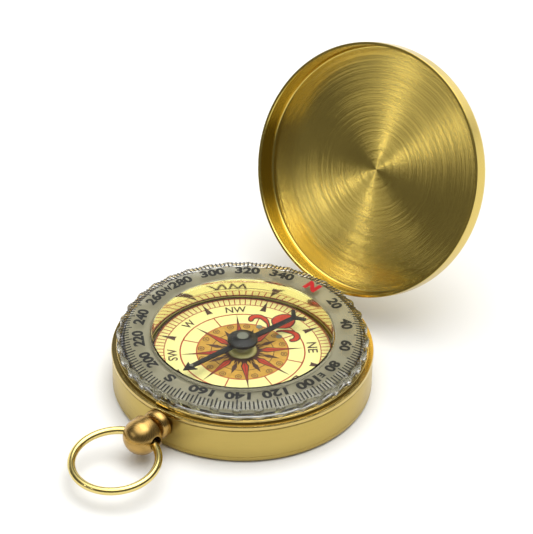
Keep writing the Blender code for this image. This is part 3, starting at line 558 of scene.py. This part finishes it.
def typed(bm, words, tall, wide, level, lay, weight=0.0, thick=INK):
    """Lettering of a given height and width, centred, from level up."""
    curve = bpy.data.curves.new("type", "FONT")
    curve.body = words
    curve.offset = weight
    curve.extrude = 0.5
    curve.resolution_u = 4
    made = bpy.data.objects.new("type", curve)
    bpy.context.scene.collection.objects.link(made)
    graph = bpy.context.evaluated_depsgraph_get()
    mesh = bpy.data.meshes.new_from_object(made.evaluated_get(graph))
    low = Vector([min(v.co[axis] for v in mesh.vertices) for axis in range(3)])
    high = Vector([max(v.co[axis] for v in mesh.vertices) for axis in range(3)])
    size = Matrix.Diagonal((wide / (high.x - low.x), tall / (high.y - low.y), thick / (high.z - low.z), 1))
    rise = Matrix.Translation((0, 0, level + thick / 2))
    mesh.transform(lay @ rise @ size @ Matrix.Translation(-(low + high) / 2))
    bm.from_mesh(mesh)
    bpy.data.objects.remove(made)
    bpy.data.curves.remove(curve)
    bpy.data.meshes.remove(mesh)


def shape(bm, points, level, grow, lay, thick=INK):
    """A flat closed curve through a few points, filled, a little grown, from level up."""
    curve = bpy.data.curves.new("shape", "CURVE")
    curve.dimensions = "2D"
    curve.fill_mode = "BOTH"
    curve.extrude = thick / 2
    curve.offset = grow
    curve.resolution_u = 5
    line = curve.splines.new("BEZIER")
    line.bezier_points.add(len(points) - 1)
    for knot, (x, y) in zip(line.bezier_points, points):
        knot.co = (x, y, 0)
        knot.handle_left_type = knot.handle_right_type = "AUTO"
    line.use_cyclic_u = True
    made = bpy.data.objects.new("shape", curve)
    bpy.context.scene.collection.objects.link(made)
    graph = bpy.context.evaluated_depsgraph_get()
    mesh = bpy.data.meshes.new_from_object(made.evaluated_get(graph))
    mesh.transform(lay @ Matrix.Translation((0, 0, level + thick / 2)))
    bm.from_mesh(mesh)
    bpy.data.objects.remove(made)
    bpy.data.curves.remove(curve)
    bpy.data.meshes.remove(mesh)


cream = Finish("dial_cream", {"Specular IOR Level": 0.35})
cream_here = cream.place()
cream_cloud = cream.noise(cream_here, 160, 4)
cream_fibre = cream.noise(cream_here, 5000, 3)
# patchy tone over the card, which also runs darker towards the card's edge by the capsule wall
cream_edge = cream.radius(cream_here).step(12 * MM, 17.4 * MM)
cream_cloud_and_edge_darkening = cream_cloud * 0.6 + cream_edge * 0.3
cream.vary(base_color=cream.mix(cream_cloud_and_edge_darkening, (0.92, 0.87, 0.37), (0.85, 0.79, 0.30)),
           roughness=0.5 + 0.15 * (cream_fibre - 0.5),
           normal=cream.bump(cream_fibre, 0.006 * MM, 0.3))
card_low, card_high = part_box("dial_card")
card_outline = [(POST_HOLE, card_low.z), (card_high.x, card_low.z), (card_high.x, card_high.z - CARD_EDGE),
                (card_high.x - CARD_EDGE, card_high.z), (POST_HOLE, card_high.z)]
dial = turned("dial_face", card_outline, cream, "case")
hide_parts("dial_card")

gold_ink = ink("gold_ink", (0.62, 0.36, 0.055), (0.50, 0.27, 0.035))
brown_ink = ink("brown_ink", (0.065, 0.030, 0.018), (0.10, 0.045, 0.03))
red_ink = ink("red_ink", (0.42, 0.065, 0.03), (0.50, 0.085, 0.04))
bright_red_ink = ink("bright_red_ink", (0.55, 0.055, 0.02), (0.46, 0.04, 0.018))

layer = [card_high.z + INK_LIFT + INK_STEP * step for step in range(5)]

gold = bmesh.new()
ring(gold, POST_HOLE, GOLD_RADIUS, layer[0])
kept("dial_print_gold", gold, gold_ink, "case")

red = bmesh.new()
for radius, width in ((TICK_RING_INNER, TICK_RING_WIDTH), (TICK_RING_OUTER, TICK_RING_WIDTH),
                      (RED_RING_RADIUS, RED_RING_WIDTH), (GOLD_RADIUS, GOLD_EDGE_WIDTH)):
    ring(red, radius - width / 2, radius + width / 2, layer[1])
for tick in range(DIAL_TICKS):
    tile(red, [(-TICK_HALF, TICK_RING_INNER), (TICK_HALF, TICK_RING_INNER), (TICK_HALF, TICK_RING_OUTER),
               (-TICK_HALF, TICK_RING_OUTER)], layer[1], bearing(DIAL_NORTH, 360 * tick / DIAL_TICKS))
for point in range(8):
    tile(red, [(-SPOKE_HALF, GOLD_RADIUS), (SPOKE_HALF, GOLD_RADIUS), (SPOKE_HALF, RED_RING_RADIUS),
               (-SPOKE_HALF, RED_RING_RADIUS)], layer[1], bearing(DIAL_NORTH, 22.5 + 45 * point))
kept("dial_print_red", red, red_ink, "case")

brown = bmesh.new()
for inner, outer in ((card_high.x - 0.38 * MM, card_high.x - 0.05 * MM), (5.92 * MM, 6.08 * MM),
                     (2.4 * MM, 3.3 * MM)):
    ring(brown, inner, outer, layer[1])
for petal in range(32):
    tile(brown, [(-0.27 * MM, 3.2 * MM), (0.27 * MM, 3.2 * MM), (0, 4.5 * MM)], layer[1],
         bearing(DIAL_NORTH, 11.25 * petal + 5.6))
for point in range(8):
    between = 22.5 + 45 * point
    tile(brown, [(-WEDGE_HALF, WEDGE_FOOT), (0, WEDGE_FOOT + 0.15 * MM), (WEDGE_HALF, WEDGE_FOOT),
                 (0.1 * MM, WEDGE_TIP), (-0.1 * MM, WEDGE_TIP)], layer[2], bearing(DIAL_NORTH, between))
    tile(brown, [(0, 3.4 * MM), (0.5 * MM, 5.2 * MM), (0.32 * MM, 6.0 * MM), (0, 7.4 * MM),
                 (-0.32 * MM, 6.0 * MM), (-0.5 * MM, 5.2 * MM)], layer[2], bearing(DIAL_NORTH, between))
    tile(brown, [(0, 2.9 * MM), (0.82 * MM, 4.6 * MM), (0.30 * MM, 8.0 * MM), (0, POINT_REACH),
                 (-0.30 * MM, 8.0 * MM), (-0.82 * MM, 4.6 * MM)], layer[2], bearing(DIAL_NORTH, 45 * point))
    for side in (-11.2, 11.2):
        spot = bearing(DIAL_NORTH, between + side, SPIRAL_RADIUS)
        ring(brown, 0.50 * MM, 0.65 * MM, layer[1], spot, 24)
        ring(brown, 0.14 * MM, 0.28 * MM, layer[1], spot, 16)
for words, degrees, wide in DIAL_LETTERS:
    typed(brown, words, LETTER_TALL, wide * MM, layer[2], bearing(DIAL_NORTH, degrees, LETTER_RADIUS),
          LETTER_WEIGHT)

# the lily that marks north: a middle petal between two hooked ones, red inside a brown edge
PETAL_EDGE = 0.26 * MM
MIDDLE_PETAL = [(0, 9.6), (0.95, 10.2), (2.15, 11.4), (2.2, 13.0), (1.3, 14.5), (0, 15.0),
                (-1.3, 14.5), (-2.2, 13.0), (-2.15, 11.4), (-0.95, 10.2)]
SIDE_PETAL = [(1.0, 8.9), (2.0, 10.6), (3.5, 11.35), (5.2, 11.1), (6.05, 9.9), (5.7, 8.6), (4.9, 8.2),
              (4.55, 8.7), (4.75, 9.5), (4.2, 10.1), (3.1, 10.0), (1.9, 9.6)]
north = bearing(DIAL_NORTH, 0)
petals = [[(x * side * MM, y * MM) for x, y in SIDE_PETAL] for side in (1, -1)]
petals.append([(x * MM, y * MM) for x, y in MIDDLE_PETAL])
for petal in petals:
    shape(brown, petal, layer[3], 0, north)
kept("dial_print_brown", brown, brown_ink, "case")

vivid = bmesh.new()
for point in range(8):
    for side in (1, -1):
        tile(vivid, [(0.08 * side * MM, 3.6 * MM), (0.54 * side * MM, 4.8 * MM),
                     (0.19 * side * MM, 7.6 * MM), (0.06 * side * MM, 9.6 * MM)],
             layer[3], bearing(DIAL_NORTH, 45 * point))
for petal in petals:
    shape(vivid, petal, layer[4], -PETAL_EDGE, north)
kept("dial_print_vivid", vivid, bright_red_ink, "case")


# ---- boss and night dots on the dial --------------------------------------------------
# A clear moulded dome covers the foot of the post. Two dots of night paint, which glows in
# the dark, stand beside north on the card.
boss_glass = Finish("boss_clear", {"Roughness": 0.08, "Coat Weight": 1.0, "Coat Roughness": 0.03,
                                   "IOR": 1.49})
BOSS_EDGE = 2.8 * MM
boss_out = boss_glass.radius(boss_glass.place()) * (1 / BOSS_EDGE)
# the dome's colour runs in rings from its middle: a painted highlight at the centre, painted reflection in
# the bands further out, and painted shade at the rim, over the dome's own olive tint
boss_highlight_and_shade_tone = boss_glass.node("ShaderNodeValToRGB", {"stops": [
    (0.0, (0.85, 0.82, 0.42)), (0.35, (0.80, 0.78, 0.45)), (0.62, (0.42, 0.40, 0.12)),
    (0.86, (0.66, 0.62, 0.25)), (1.0, (0.16, 0.13, 0.03))]}, {"Fac": boss_out})
boss_cloud = boss_glass.noise(boss_glass.place(), 700, 3)
boss_glass.vary(base_color=boss_glass.mix(boss_cloud * 0.3, boss_highlight_and_shade_tone, (0.55, 0.52, 0.2)),
                normal=boss_glass.bump(boss_cloud, 0.01 * MM, 0.3))
boss_low, boss_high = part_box("pivot_boss")
boss_rise = boss_high.z - boss_low.z
boss_outline = [(POST_HOLE, boss_high.z)]
boss_outline += [(boss_high.x * math.cos(a), boss_low.z + boss_rise * math.sin(a))
                 for a in (math.radians(76 - 9.5 * step) for step in range(9))]
boss_outline += [(POST_HOLE, boss_low.z)]
boss = turned("dial_boss", boss_outline, boss_glass, "case", steps=96)
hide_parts("pivot_boss")

night_paint = Finish("lume_grey", {"Specular IOR Level": 0.3})
paint_grain = night_paint.noise(night_paint.place(), 4000, 4)
night_paint.vary(base_color=night_paint.mix(paint_grain, (0.13, 0.135, 0.10), (0.24, 0.25, 0.19)),
                 roughness=0.5 + 0.3 * paint_grain, normal=night_paint.bump(paint_grain, 0.02 * MM, 0.6))


def dot(name, node, body, lay=None):
    """A drop of night paint, rounded at its edge, that fills its node's box."""
    low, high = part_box(node)
    middle = (low + high) / 2
    radius = (high.x - low.x) / 2
    rise = high.z - low.z
    outline = [(0, high.z)]
    outline += [(radius * math.cos(a), low.z + rise * math.sin(a))
                for a in (math.radians(72 - 12 * step) for step in range(7))]
    outline += [(0, low.z)]
    spot = Matrix.Translation((middle.x, middle.y, 0))
    made = turned(name, outline, night_paint, body, spot, 40)
    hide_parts(node)


dot("night_dot_left", "dial_lume_left", "case")
dot("night_dot_right", "dial_lume_right", "case")


# ---- needle ---------------------------------------------------------------------------
# A blued steel strip painted black, with an arrow head and a forked tail. A turned hub
# with a jewel rides on the post's point. The hub and the head carry night paint.
NEEDLE_HEADING = math.radians(256.5)
HEAD_TIP = 14.3
HEAD_BACK = 11.95
SHAFT_AT_HEAD = 0.50
SHAFT_AT_HUB = 0.68
FORK_START = 12.3
NEEDLE_EDGE = 0.06 * MM
HUB_SEAT = 2.2 * MM
HUB_GAP = 0.15 * MM
HUB_NECK = 2.05 * MM
HUB_TOP_ROUND = 0.2 * MM
HUB_SHOULDER_DROP = 0.42 * MM
HUB_EDGE_DROP = 0.75 * MM
HUB_EDGE_ROUND = 0.25 * MM
JEWEL_SEAT = 1.05 * MM

black_paint = Finish("needle_black", {"Specular IOR Level": 0.35})
needle_grain = black_paint.noise(black_paint.place(), 1800, 4)
needle_dust = black_paint.noise(black_paint.place(), 9000, 2).step(0.66, 0.74)
black_paint.vary(base_color=black_paint.mix(needle_dust * 0.5 + needle_grain * 0.3,
                                            (0.006, 0.006, 0.005), (0.030, 0.030, 0.026)),
                 roughness=0.26 + 0.2 * needle_grain,
                 normal=black_paint.bump(needle_grain, 0.01 * MM, 0.5))
needle_low, needle_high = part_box("needle")
half_needle = [(HEAD_TIP, 0), (13.4, 0.55), (HEAD_BACK, 1.42), (HEAD_BACK + 0.22, 0.95),
               (HEAD_BACK + 0.25, SHAFT_AT_HEAD), (2.0, SHAFT_AT_HUB), (-2.0, SHAFT_AT_HUB),
               (-FORK_START, SHAFT_AT_HEAD), (-12.75, 0.95), (-13.55, 1.95), (-13.95, 2.1), (-14.25, 1.85),
               (-14.2, 1.45), (-13.55, 0.55), (-13.25, 0.0)]
needle_turn = Matrix.Rotation(NEEDLE_HEADING, 4, "Z")
needle_bm = bmesh.new()
whole = half_needle + [(x, -y) for x, y in reversed(half_needle[1:-1])]
tile(needle_bm, [(x * MM, y * MM) for x, y in whole], needle_low.z, thick=needle_high.z - needle_low.z)
rims = [edge for edge in needle_bm.edges if abs(edge.verts[0].co.z - edge.verts[1].co.z) < 0.01 * MM]
bmesh.ops.recalc_face_normals(needle_bm, faces=needle_bm.faces)
bmesh.ops.bevel(needle_bm, geom=rims, offset=NEEDLE_EDGE, offset_type="OFFSET",
                affect="EDGES", segments=2, profile=0.5, material=-1)
pointer = kept("pointer", needle_bm, black_paint, "needle", needle_turn)
cut(pointer, (HUB_SEAT, needle_low.z - MM, needle_high.z + MM), upright)
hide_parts("needle")

hub_low, hub_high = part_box("needle_hub")
hub_radius = hub_high.x
hub_foot = needle_high.z + HUB_GAP
hub_outline = [(0, hub_high.z), (0.42 * hub_radius, hub_high.z)]
hub_outline += arc((0.45 * hub_radius, hub_high.z - HUB_TOP_ROUND), HUB_TOP_ROUND, 80, 40, 3)
hub_outline += [(0.80 * hub_radius, hub_high.z - HUB_SHOULDER_DROP)]
hub_outline += arc((hub_radius - HUB_EDGE_ROUND, hub_high.z - HUB_EDGE_DROP), HUB_EDGE_ROUND, 60, 0, 4)
hub_outline += [(hub_radius, hub_foot), (HUB_NECK, hub_foot), (HUB_NECK, hub_low.z),
                (JEWEL_SEAT, hub_low.z), (JEWEL_SEAT, hub_foot + HUB_GAP), (0, hub_foot + HUB_GAP)]
hub = turned("hub", hub_outline, black_paint, "needle", steps=120)
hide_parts("needle_hub")
dot("night_dot_hub", "hub_lume", "needle")
dot("night_dot_head", "needle_lume", "needle")
jewel = Finish("jewel_red", {"Roughness": 0.05, "Transmission Weight": 0.4, "IOR": 1.76})
jewel.vary(base_color=jewel.mix(jewel.noise(jewel.place(), 900), (0.45, 0.02, 0.05), (0.6, 0.05, 0.08)))
carry("jewel_bearing", jewel)


# ---- degree scale ---------------------------------------------------------------------
# A thin ring of grey metal, cemented into the clear bezel. The bezel carries the print:
# black numbers every 20 degrees, a stroke every 2 degrees, and the four letters.
BEZEL_NORTH = math.radians(85.2)
scale_metal = Finish("scale_grey", {"Metallic": 0.55, "Anisotropic": 0.3})
scale_here = scale_metal.place()
scale_lines = scale_metal.lines(scale_metal.radius(scale_here), 0.12 * MM)
scale_cloud = scale_metal.noise(scale_here, 70, 3)
scale_metal.vary(base_color=scale_metal.mix(scale_lines * 0.4 + scale_cloud * 0.6,
                                            (0.36, 0.34, 0.24), (0.27, 0.25, 0.16)),
                 roughness=0.42 + 0.15 * (scale_lines - 0.5),
                 normal=scale_metal.bump(scale_lines, 0.004 * MM, 0.4))
scale_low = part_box("scale_ring")[0]
bezel_low, bezel_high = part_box("bezel_ring")
SCALE_BORE = 17.6 * MM
CEMENT = 0.02 * MM
SCALE_RADIUS = 22.2 * MM
scale_top = bezel_low.z + CEMENT
scale_outline = [(SCALE_BORE + CEMENT, scale_low.z), (SCALE_RADIUS, scale_low.z),
                 (SCALE_RADIUS, scale_top), (SCALE_BORE + CEMENT, scale_top)]
scale = turned("degree_ring", scale_outline, scale_metal, "bezel")
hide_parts("scale_ring")

black_ink = ink("black_ink", (0.012, 0.012, 0.010), (0.02, 0.02, 0.018), 0.4)
signal_red = ink("signal_red", (0.50, 0.012, 0.018), (0.42, 0.01, 0.015), 0.4)
BEZEL_FLAT = 21.35 * MM
BEZEL_SLOPE = 0.235
NUMBER_RADIUS = 19.9 * MM
NUMBER_TALL = 2.2 * MM
NUMBER_WEIGHT = 0.045
NORTH_TALL = 2.7 * MM
NORTH_WIDE = 2.9 * MM
NORTH_WEIGHT = 0.07
STROKE_LONG_START = 21.1 * MM
STROKE_SHORT_START = 21.6 * MM
STROKE_END = 23.3 * MM
STROKE_HALF = 0.15 * MM
PRINT_LIFT = 0.004 * MM
on_top = bezel_high.z + PRINT_LIFT

black = bmesh.new()
for value in range(20, 360, 20):
    if value != 180:
        wide = (4.9 if value >= 100 else 3.3) * MM
        typed(black, str(value), NUMBER_TALL, wide, on_top, bearing(BEZEL_NORTH, value, NUMBER_RADIUS),
              NUMBER_WEIGHT)
for words, value, wide, tall in (("E", 90, 1.1, 1.4), ("S", 180, 1.9, 2.2), ("W", 270, 2.2, 1.7)):
    typed(black, words, tall * MM, wide * MM, on_top, bearing(BEZEL_NORTH, value, NUMBER_RADIUS),
          NUMBER_WEIGHT)
for degrees in range(0, 360, 2):
    start = STROKE_SHORT_START if degrees % 10 else STROKE_LONG_START
    stroke = bmesh.new()
    tile(stroke, [(-STROKE_HALF, start), (STROKE_HALF, start), (STROKE_HALF, STROKE_END),
                  (-STROKE_HALF, STROKE_END)], on_top)
    bmesh.ops.bisect_plane(stroke, geom=stroke.verts[:] + stroke.edges[:] + stroke.faces[:],
                           plane_co=(0, BEZEL_FLAT, 0), plane_no=(0, 1, 0))
    for point in stroke.verts:
        point.co.z -= max(0.0, point.co.y - BEZEL_FLAT) * BEZEL_SLOPE
    bmesh.ops.transform(stroke, matrix=bearing(BEZEL_NORTH, degrees), verts=stroke.verts)
    join(black, stroke)
kept("bezel_print_black", black, black_ink, "bezel").visible_shadow = False
red_north = bmesh.new()
typed(red_north, "N", NORTH_TALL, NORTH_WIDE, on_top, bearing(BEZEL_NORTH, 0, NUMBER_RADIUS), NORTH_WEIGHT)
kept("bezel_print_north", red_north, signal_red, "bezel")


# ---- bezel ----------------------------------------------------------------------------
# A ring moulded in clear acrylic, with 36 finger lobes. A clear disc is cemented into it
# over the dial, and a split wire ring under it gives the friction.
LOBES = 36
LOBE_DEPTH = 0.5 * MM
LOBE_SHARPNESS = 1.6
BEZEL_STEPS = LOBES * 10
FROST_START = 23.3 * MM
FROST_END = 24.0 * MM


def clear_plastic(name, tint):
    """Acrylic that bends what is seen through it, and lets the lamps' light straight in."""
    made = Finish(name, {"Base Color": tint, "Transmission Weight": 1.0, "IOR": 1.49})
    here = made.place()
    haze = made.noise(here, 400, 4, 0.6)
    frost = made.radius(here).step(FROST_START, FROST_END)
    made.vary(roughness=0.01 + 0.05 * haze.step(0.55, 0.8) + 0.22 * frost,
              normal=made.bump(haze, 0.006 * MM, 0.25))
    tree = made.tree
    output = tree.nodes["Material Output"]
    through = made.node("ShaderNodeBsdfTransparent", {}, {"Color": (0.97, 0.97, 0.95)})
    shadow = made.node("ShaderNodeLightPath", {}, {}, "Is Shadow Ray")
    solid = Value(made, made.shader.outputs[0])
    both = made.node("ShaderNodeMixShader", {}, {0: shadow, 1: solid, 2: through})
    tree.links.new(both.socket, output.inputs["Surface"])
    return made


acrylic = clear_plastic("clear_acrylic", (0.97, 0.975, 0.96))
bezel_radius = bezel_high.x
BEZEL_BORE = 17.6 * MM
SKIRT_BORE = 23.3 * MM
EDGE_ROUND = 0.6 * MM
SKIRT_ROUND = 0.15 * MM
SKIRT_GAP = 0.1 * MM
PANE_EDGE = 0.1 * MM
slope_end = bezel_high.z - (bezel_radius - BEZEL_FLAT) * BEZEL_SLOPE
skirt_low = rim_top + SKIRT_GAP
bezel_outline = [(BEZEL_BORE, bezel_low.z), (SKIRT_BORE, bezel_low.z), (SKIRT_BORE, skirt_low)]
bezel_outline += arc((bezel_radius - SKIRT_ROUND, skirt_low + SKIRT_ROUND), SKIRT_ROUND, -90, 0, 3)
bezel_outline += arc((bezel_radius - EDGE_ROUND, slope_end - 0.85 * EDGE_ROUND), EDGE_ROUND, 0, 77, 7)
bezel_outline += [(BEZEL_FLAT, bezel_high.z), (BEZEL_BORE + PANE_EDGE, bezel_high.z),
                  (BEZEL_BORE, bezel_high.z - PANE_EDGE)]
bezel_bm = bmesh.new()
turn(bezel_bm, bezel_outline, BEZEL_STEPS)
for point in bezel_bm.verts:
    radius = math.hypot(point.co.x, point.co.y)
    share = max(0.0, (radius - BEZEL_FLAT) / (bezel_radius - BEZEL_FLAT))
    angle = LOBES * math.atan2(point.co.y, point.co.x)
    dip = LOBE_DEPTH * share * (1 - ((1 + math.cos(angle)) / 2) ** LOBE_SHARPNESS)
    point.co.x *= 1 - dip / radius
    point.co.y *= 1 - dip / radius
bezel = kept("bezel", bezel_bm, acrylic, "bezel", Matrix.Rotation(BEZEL_NORTH, 4, "Z"))
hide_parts("bezel_ring")

window_low, window_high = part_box("window")
pane_outline = [(0, window_high.z), (window_high.x - PANE_EDGE, window_high.z),
                (window_high.x, window_high.z - PANE_EDGE), (window_high.x, window_low.z),
                (0, window_low.z)]
pane = turned("pane", pane_outline, acrylic, "bezel")
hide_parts("window")

# a bright sleeve lines the bezel's bore under the pane, above the capsule's mirrored wall
BAND_BORE = 17.32 * MM
BAND_OUTER = BEZEL_BORE - 0.05 * MM
BAND_GAP = 0.15 * MM
BAND_SEAT = 0.03 * MM
band_low = capsule_high.z + BAND_GAP
band_high = window_low.z - BAND_SEAT
turned("pane_band", [(BAND_BORE, band_low), (BAND_OUTER, band_low), (BAND_OUTER, band_high),
                     (BAND_BORE, band_high)], bright_wall, "bezel")

steel = brass("spring_steel", (0.55, 0.55, 0.56), (0.38, 0.38, 0.39), 0.3, 0.1, 0.2 * MM, 0.002 * MM)
for node in ("bezel_snap_ring", "hinge_pin", "hinge_spring", "crown_stem", "crown_spring"):
    carry(node, steel)
carry("lid_catch", polished_brass)


# ---- lid ------------------------------------------------------------------------------
# The lid is a deep cup spun from brass sheet. Its floor was brushed on the lathe, so fine
# rings run round it and every lamp draws a bright fan through its middle.
LID_WALL = 0.65 * MM
LID_DEPTH = 4.3 * MM
LID_TOP_THICK = 0.7 * MM
LID_EDGE_ROUND = 2.4 * MM
LID_CORNER_ROUND = 0.5 * MM
LID_LIP_ROUND = 0.12 * MM
SEAT_GAP = 0.1 * MM
GROOVE_PITCH = 0.034 * MM
GROOVE_DEPTH = 0.0054 * MM
GROOVE_SPREAD = 0.618
GROOVE_UNEVEN = 0.1
GROOVE_STEPS = 110
SMOOTH_WITHIN = 4

opening = math.radians(joints["lid_hinge"]["range_deg"][1])
opened = Matrix.Translation(hinge) @ Matrix.Rotation(-opening, 4, "X") @ Matrix.Translation(-hinge)
closing = opened.inverted()
lid_radius = rim_radius
lid_seat = bead_top + SEAT_GAP
lid_inner = lid_radius - LID_WALL
lid_floor = lid_seat + LID_DEPTH
lid_top = lid_floor + LID_TOP_THICK

lid_brass = brass("lid_brass", (0.70, 0.53, 0.13), (0.58, 0.43, 0.10), 0.19, 0.03, 0.35 * MM,
                  0.0006 * MM, 0.0, closing)
chance = random.Random(11)
rings = int((lid_inner - LID_CORNER_ROUND) / GROOVE_PITCH)
lid_outline = [(0, lid_floor)]
# neighbouring grooves differ in depth, so that together their sides slope every way a little
for groove in range(1, rings):
    side = 1 if groove % 2 else -1
    share = (groove * GROOVE_SPREAD + chance.uniform(-GROOVE_UNEVEN, GROOVE_UNEVEN)) % 1
    lid_outline.append((groove * GROOVE_PITCH, lid_floor + side * GROOVE_DEPTH * share))
lid_outline += arc((lid_inner - LID_CORNER_ROUND, lid_floor - LID_CORNER_ROUND),
                   LID_CORNER_ROUND, 90, 0, 24)
lid_outline += [(lid_inner, lid_seat + LID_LIP_ROUND), (lid_inner + LID_LIP_ROUND, lid_seat)]
lid_outline += arc((lid_radius - LID_LIP_ROUND, lid_seat + LID_LIP_ROUND), LID_LIP_ROUND, -90, 0, 4)
lid_outline += arc((lid_radius - LID_EDGE_ROUND, lid_top - LID_EDGE_ROUND), LID_EDGE_ROUND, 0, 90, 30)
lid_outline += [(0, lid_top)]
lid_bm = bmesh.new()
turn(lid_bm, lid_outline, GROOVE_STEPS)
lid = kept("lid", lid_bm, lid_brass, "lid", opened, SMOOTH_WITHIN)
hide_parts("lid_shell")
for node in ("hinge_case_leaf", "hinge_lid_leaf"):
    carry(node, polished_brass)


# ---- pendant --------------------------------------------------------------------------
# A turned collar is held through the wall by a nut inside. The crown slides in it, a ball
# on a neck with a cross hole for the ring, and pulls the catch back when it is pressed.
COLLAR_BORE = 1.65 * MM
COLLAR_MOUTH_EDGE = 0.15 * MM
COLLAR_DOME = 1.25 * MM
COLLAR_LIFT = 0.3 * MM
COLLAR_BACK_EDGE = 0.1 * MM
COLLAR_TUBE = 2.2 * MM
COLLAR_END_WALL = 0.6 * MM
STEM_HOLE = 0.85 * MM
crown_brass = brass("crown_brass", (0.52, 0.34, 0.11), (0.38, 0.23, 0.065), 0.27, 0.12, 0.12 * MM,
                    0.003 * MM, 0.4)
collar_face = -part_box("pendant_collar")[0].y
collar_back = cup_radius + COLLAR_LIFT
collar_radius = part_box("pendant_collar")[1].x
collar_end = -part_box("pendant_collar")[1].y
collar_outline = [(COLLAR_BORE, collar_face - COLLAR_MOUTH_EDGE),
                  (COLLAR_BORE + COLLAR_MOUTH_EDGE, collar_face)]
collar_outline += [(0.72 * collar_radius, collar_face)]
collar_outline += [(0.72 * collar_radius + 0.28 * collar_radius * math.sin(a),
                    collar_face - COLLAR_DOME * (1 - math.cos(a)))
                   for a in (math.radians(15 * step) for step in range(1, 7))]
collar_outline += [(collar_radius, collar_back + COLLAR_BACK_EDGE),
                   (collar_radius - COLLAR_BACK_EDGE, collar_back),
                   (COLLAR_TUBE, collar_back), (COLLAR_TUBE, collar_end), (STEM_HOLE, collar_end),
                   (STEM_HOLE, collar_end + COLLAR_END_WALL), (COLLAR_BORE, collar_end + COLLAR_END_WALL)]
collar = turned("collar", collar_outline, crown_brass, "case", along_crown, 96)
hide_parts("pendant_collar")
carry("collar_nut", polished_brass)
carry("catch_nut", polished_brass)

CROWN_NECK = 1.55 * MM
CROWN_BARREL = 1.9 * MM
SHOULDER_ROUND = 0.35 * MM
NECK_ROUND = 0.3 * MM
STEM_SEAT = 1.5 * MM
CROSS_HOLE = 1.35 * MM
CROSS_HOLE_HALF = 6 * MM
ball_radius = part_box("crown_ball")[1].x
ball_place = -crown.y
neck_end = -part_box("crown_ball")[1].y
shoulder = ball_place - CROWN_BARREL
ball_outline = [(0, ball_place + ball_radius)]
ball_outline += arc((0, ball_place), ball_radius, 90, 0, 24)[1:]
ball_outline += arc((ball_radius - SHOULDER_ROUND, shoulder + SHOULDER_ROUND), SHOULDER_ROUND, 0, -90, 6)
ball_outline += [(CROWN_NECK + NECK_ROUND, shoulder), (CROWN_NECK, shoulder - NECK_ROUND),
                 (CROWN_NECK, neck_end), (STEM_HOLE, neck_end), (STEM_HOLE, ball_place - STEM_SEAT),
                 (0, ball_place - STEM_SEAT)]
ball = turned("crown", ball_outline, crown_brass, "crown", along_crown, 120)
cut(ball, (CROSS_HOLE, -CROSS_HOLE_HALF, CROSS_HOLE_HALF), Matrix.Translation(crown) @ SIDEWAYS)
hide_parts("crown_ball")


# ---- ring -----------------------------------------------------------------------------
# A ring of round brass wire runs through the crown's cross hole, with its ends butted.
# It is loose in the hole, and droops a little below level while the case lies down.
WIRE_RADIUS = 0.75 * MM
RING_RADIUS = 8.0 * MM
bow_low, bow_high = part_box("bow_ring")
bow_middle = (bow_low + bow_high) / 2
bow_droop = math.asin((bow_high.z - bow_low.z - 2 * WIRE_RADIUS) / (2 * RING_RADIUS))
ring_brass = brass("ring_brass", (0.82, 0.68, 0.27), (0.68, 0.53, 0.17), 0.15, 0.05, 0.3 * MM,
                   0.001 * MM)
bow_bm = bmesh.new()
bmesh.ops.create_circle(bow_bm, segments=28, radius=WIRE_RADIUS)
bmesh.ops.rotate(bow_bm, verts=bow_bm.verts, cent=(0, 0, 0), matrix=Matrix.Rotation(math.pi / 2, 3, "X"))
bmesh.ops.translate(bow_bm, vec=(RING_RADIUS, 0, 0), verts=bow_bm.verts)
bmesh.ops.spin(bow_bm, geom=bow_bm.verts[:] + bow_bm.edges[:], cent=(0, 0, 0), axis=(0, 0, 1),
               angle=math.tau, steps=160, use_merge=True)
bow = kept("bow", bow_bm, ring_brass, "bow",
           Matrix.Translation(bow_middle) @ Matrix.Rotation(bow_droop, 4, "X"))
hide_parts("bow_ring")
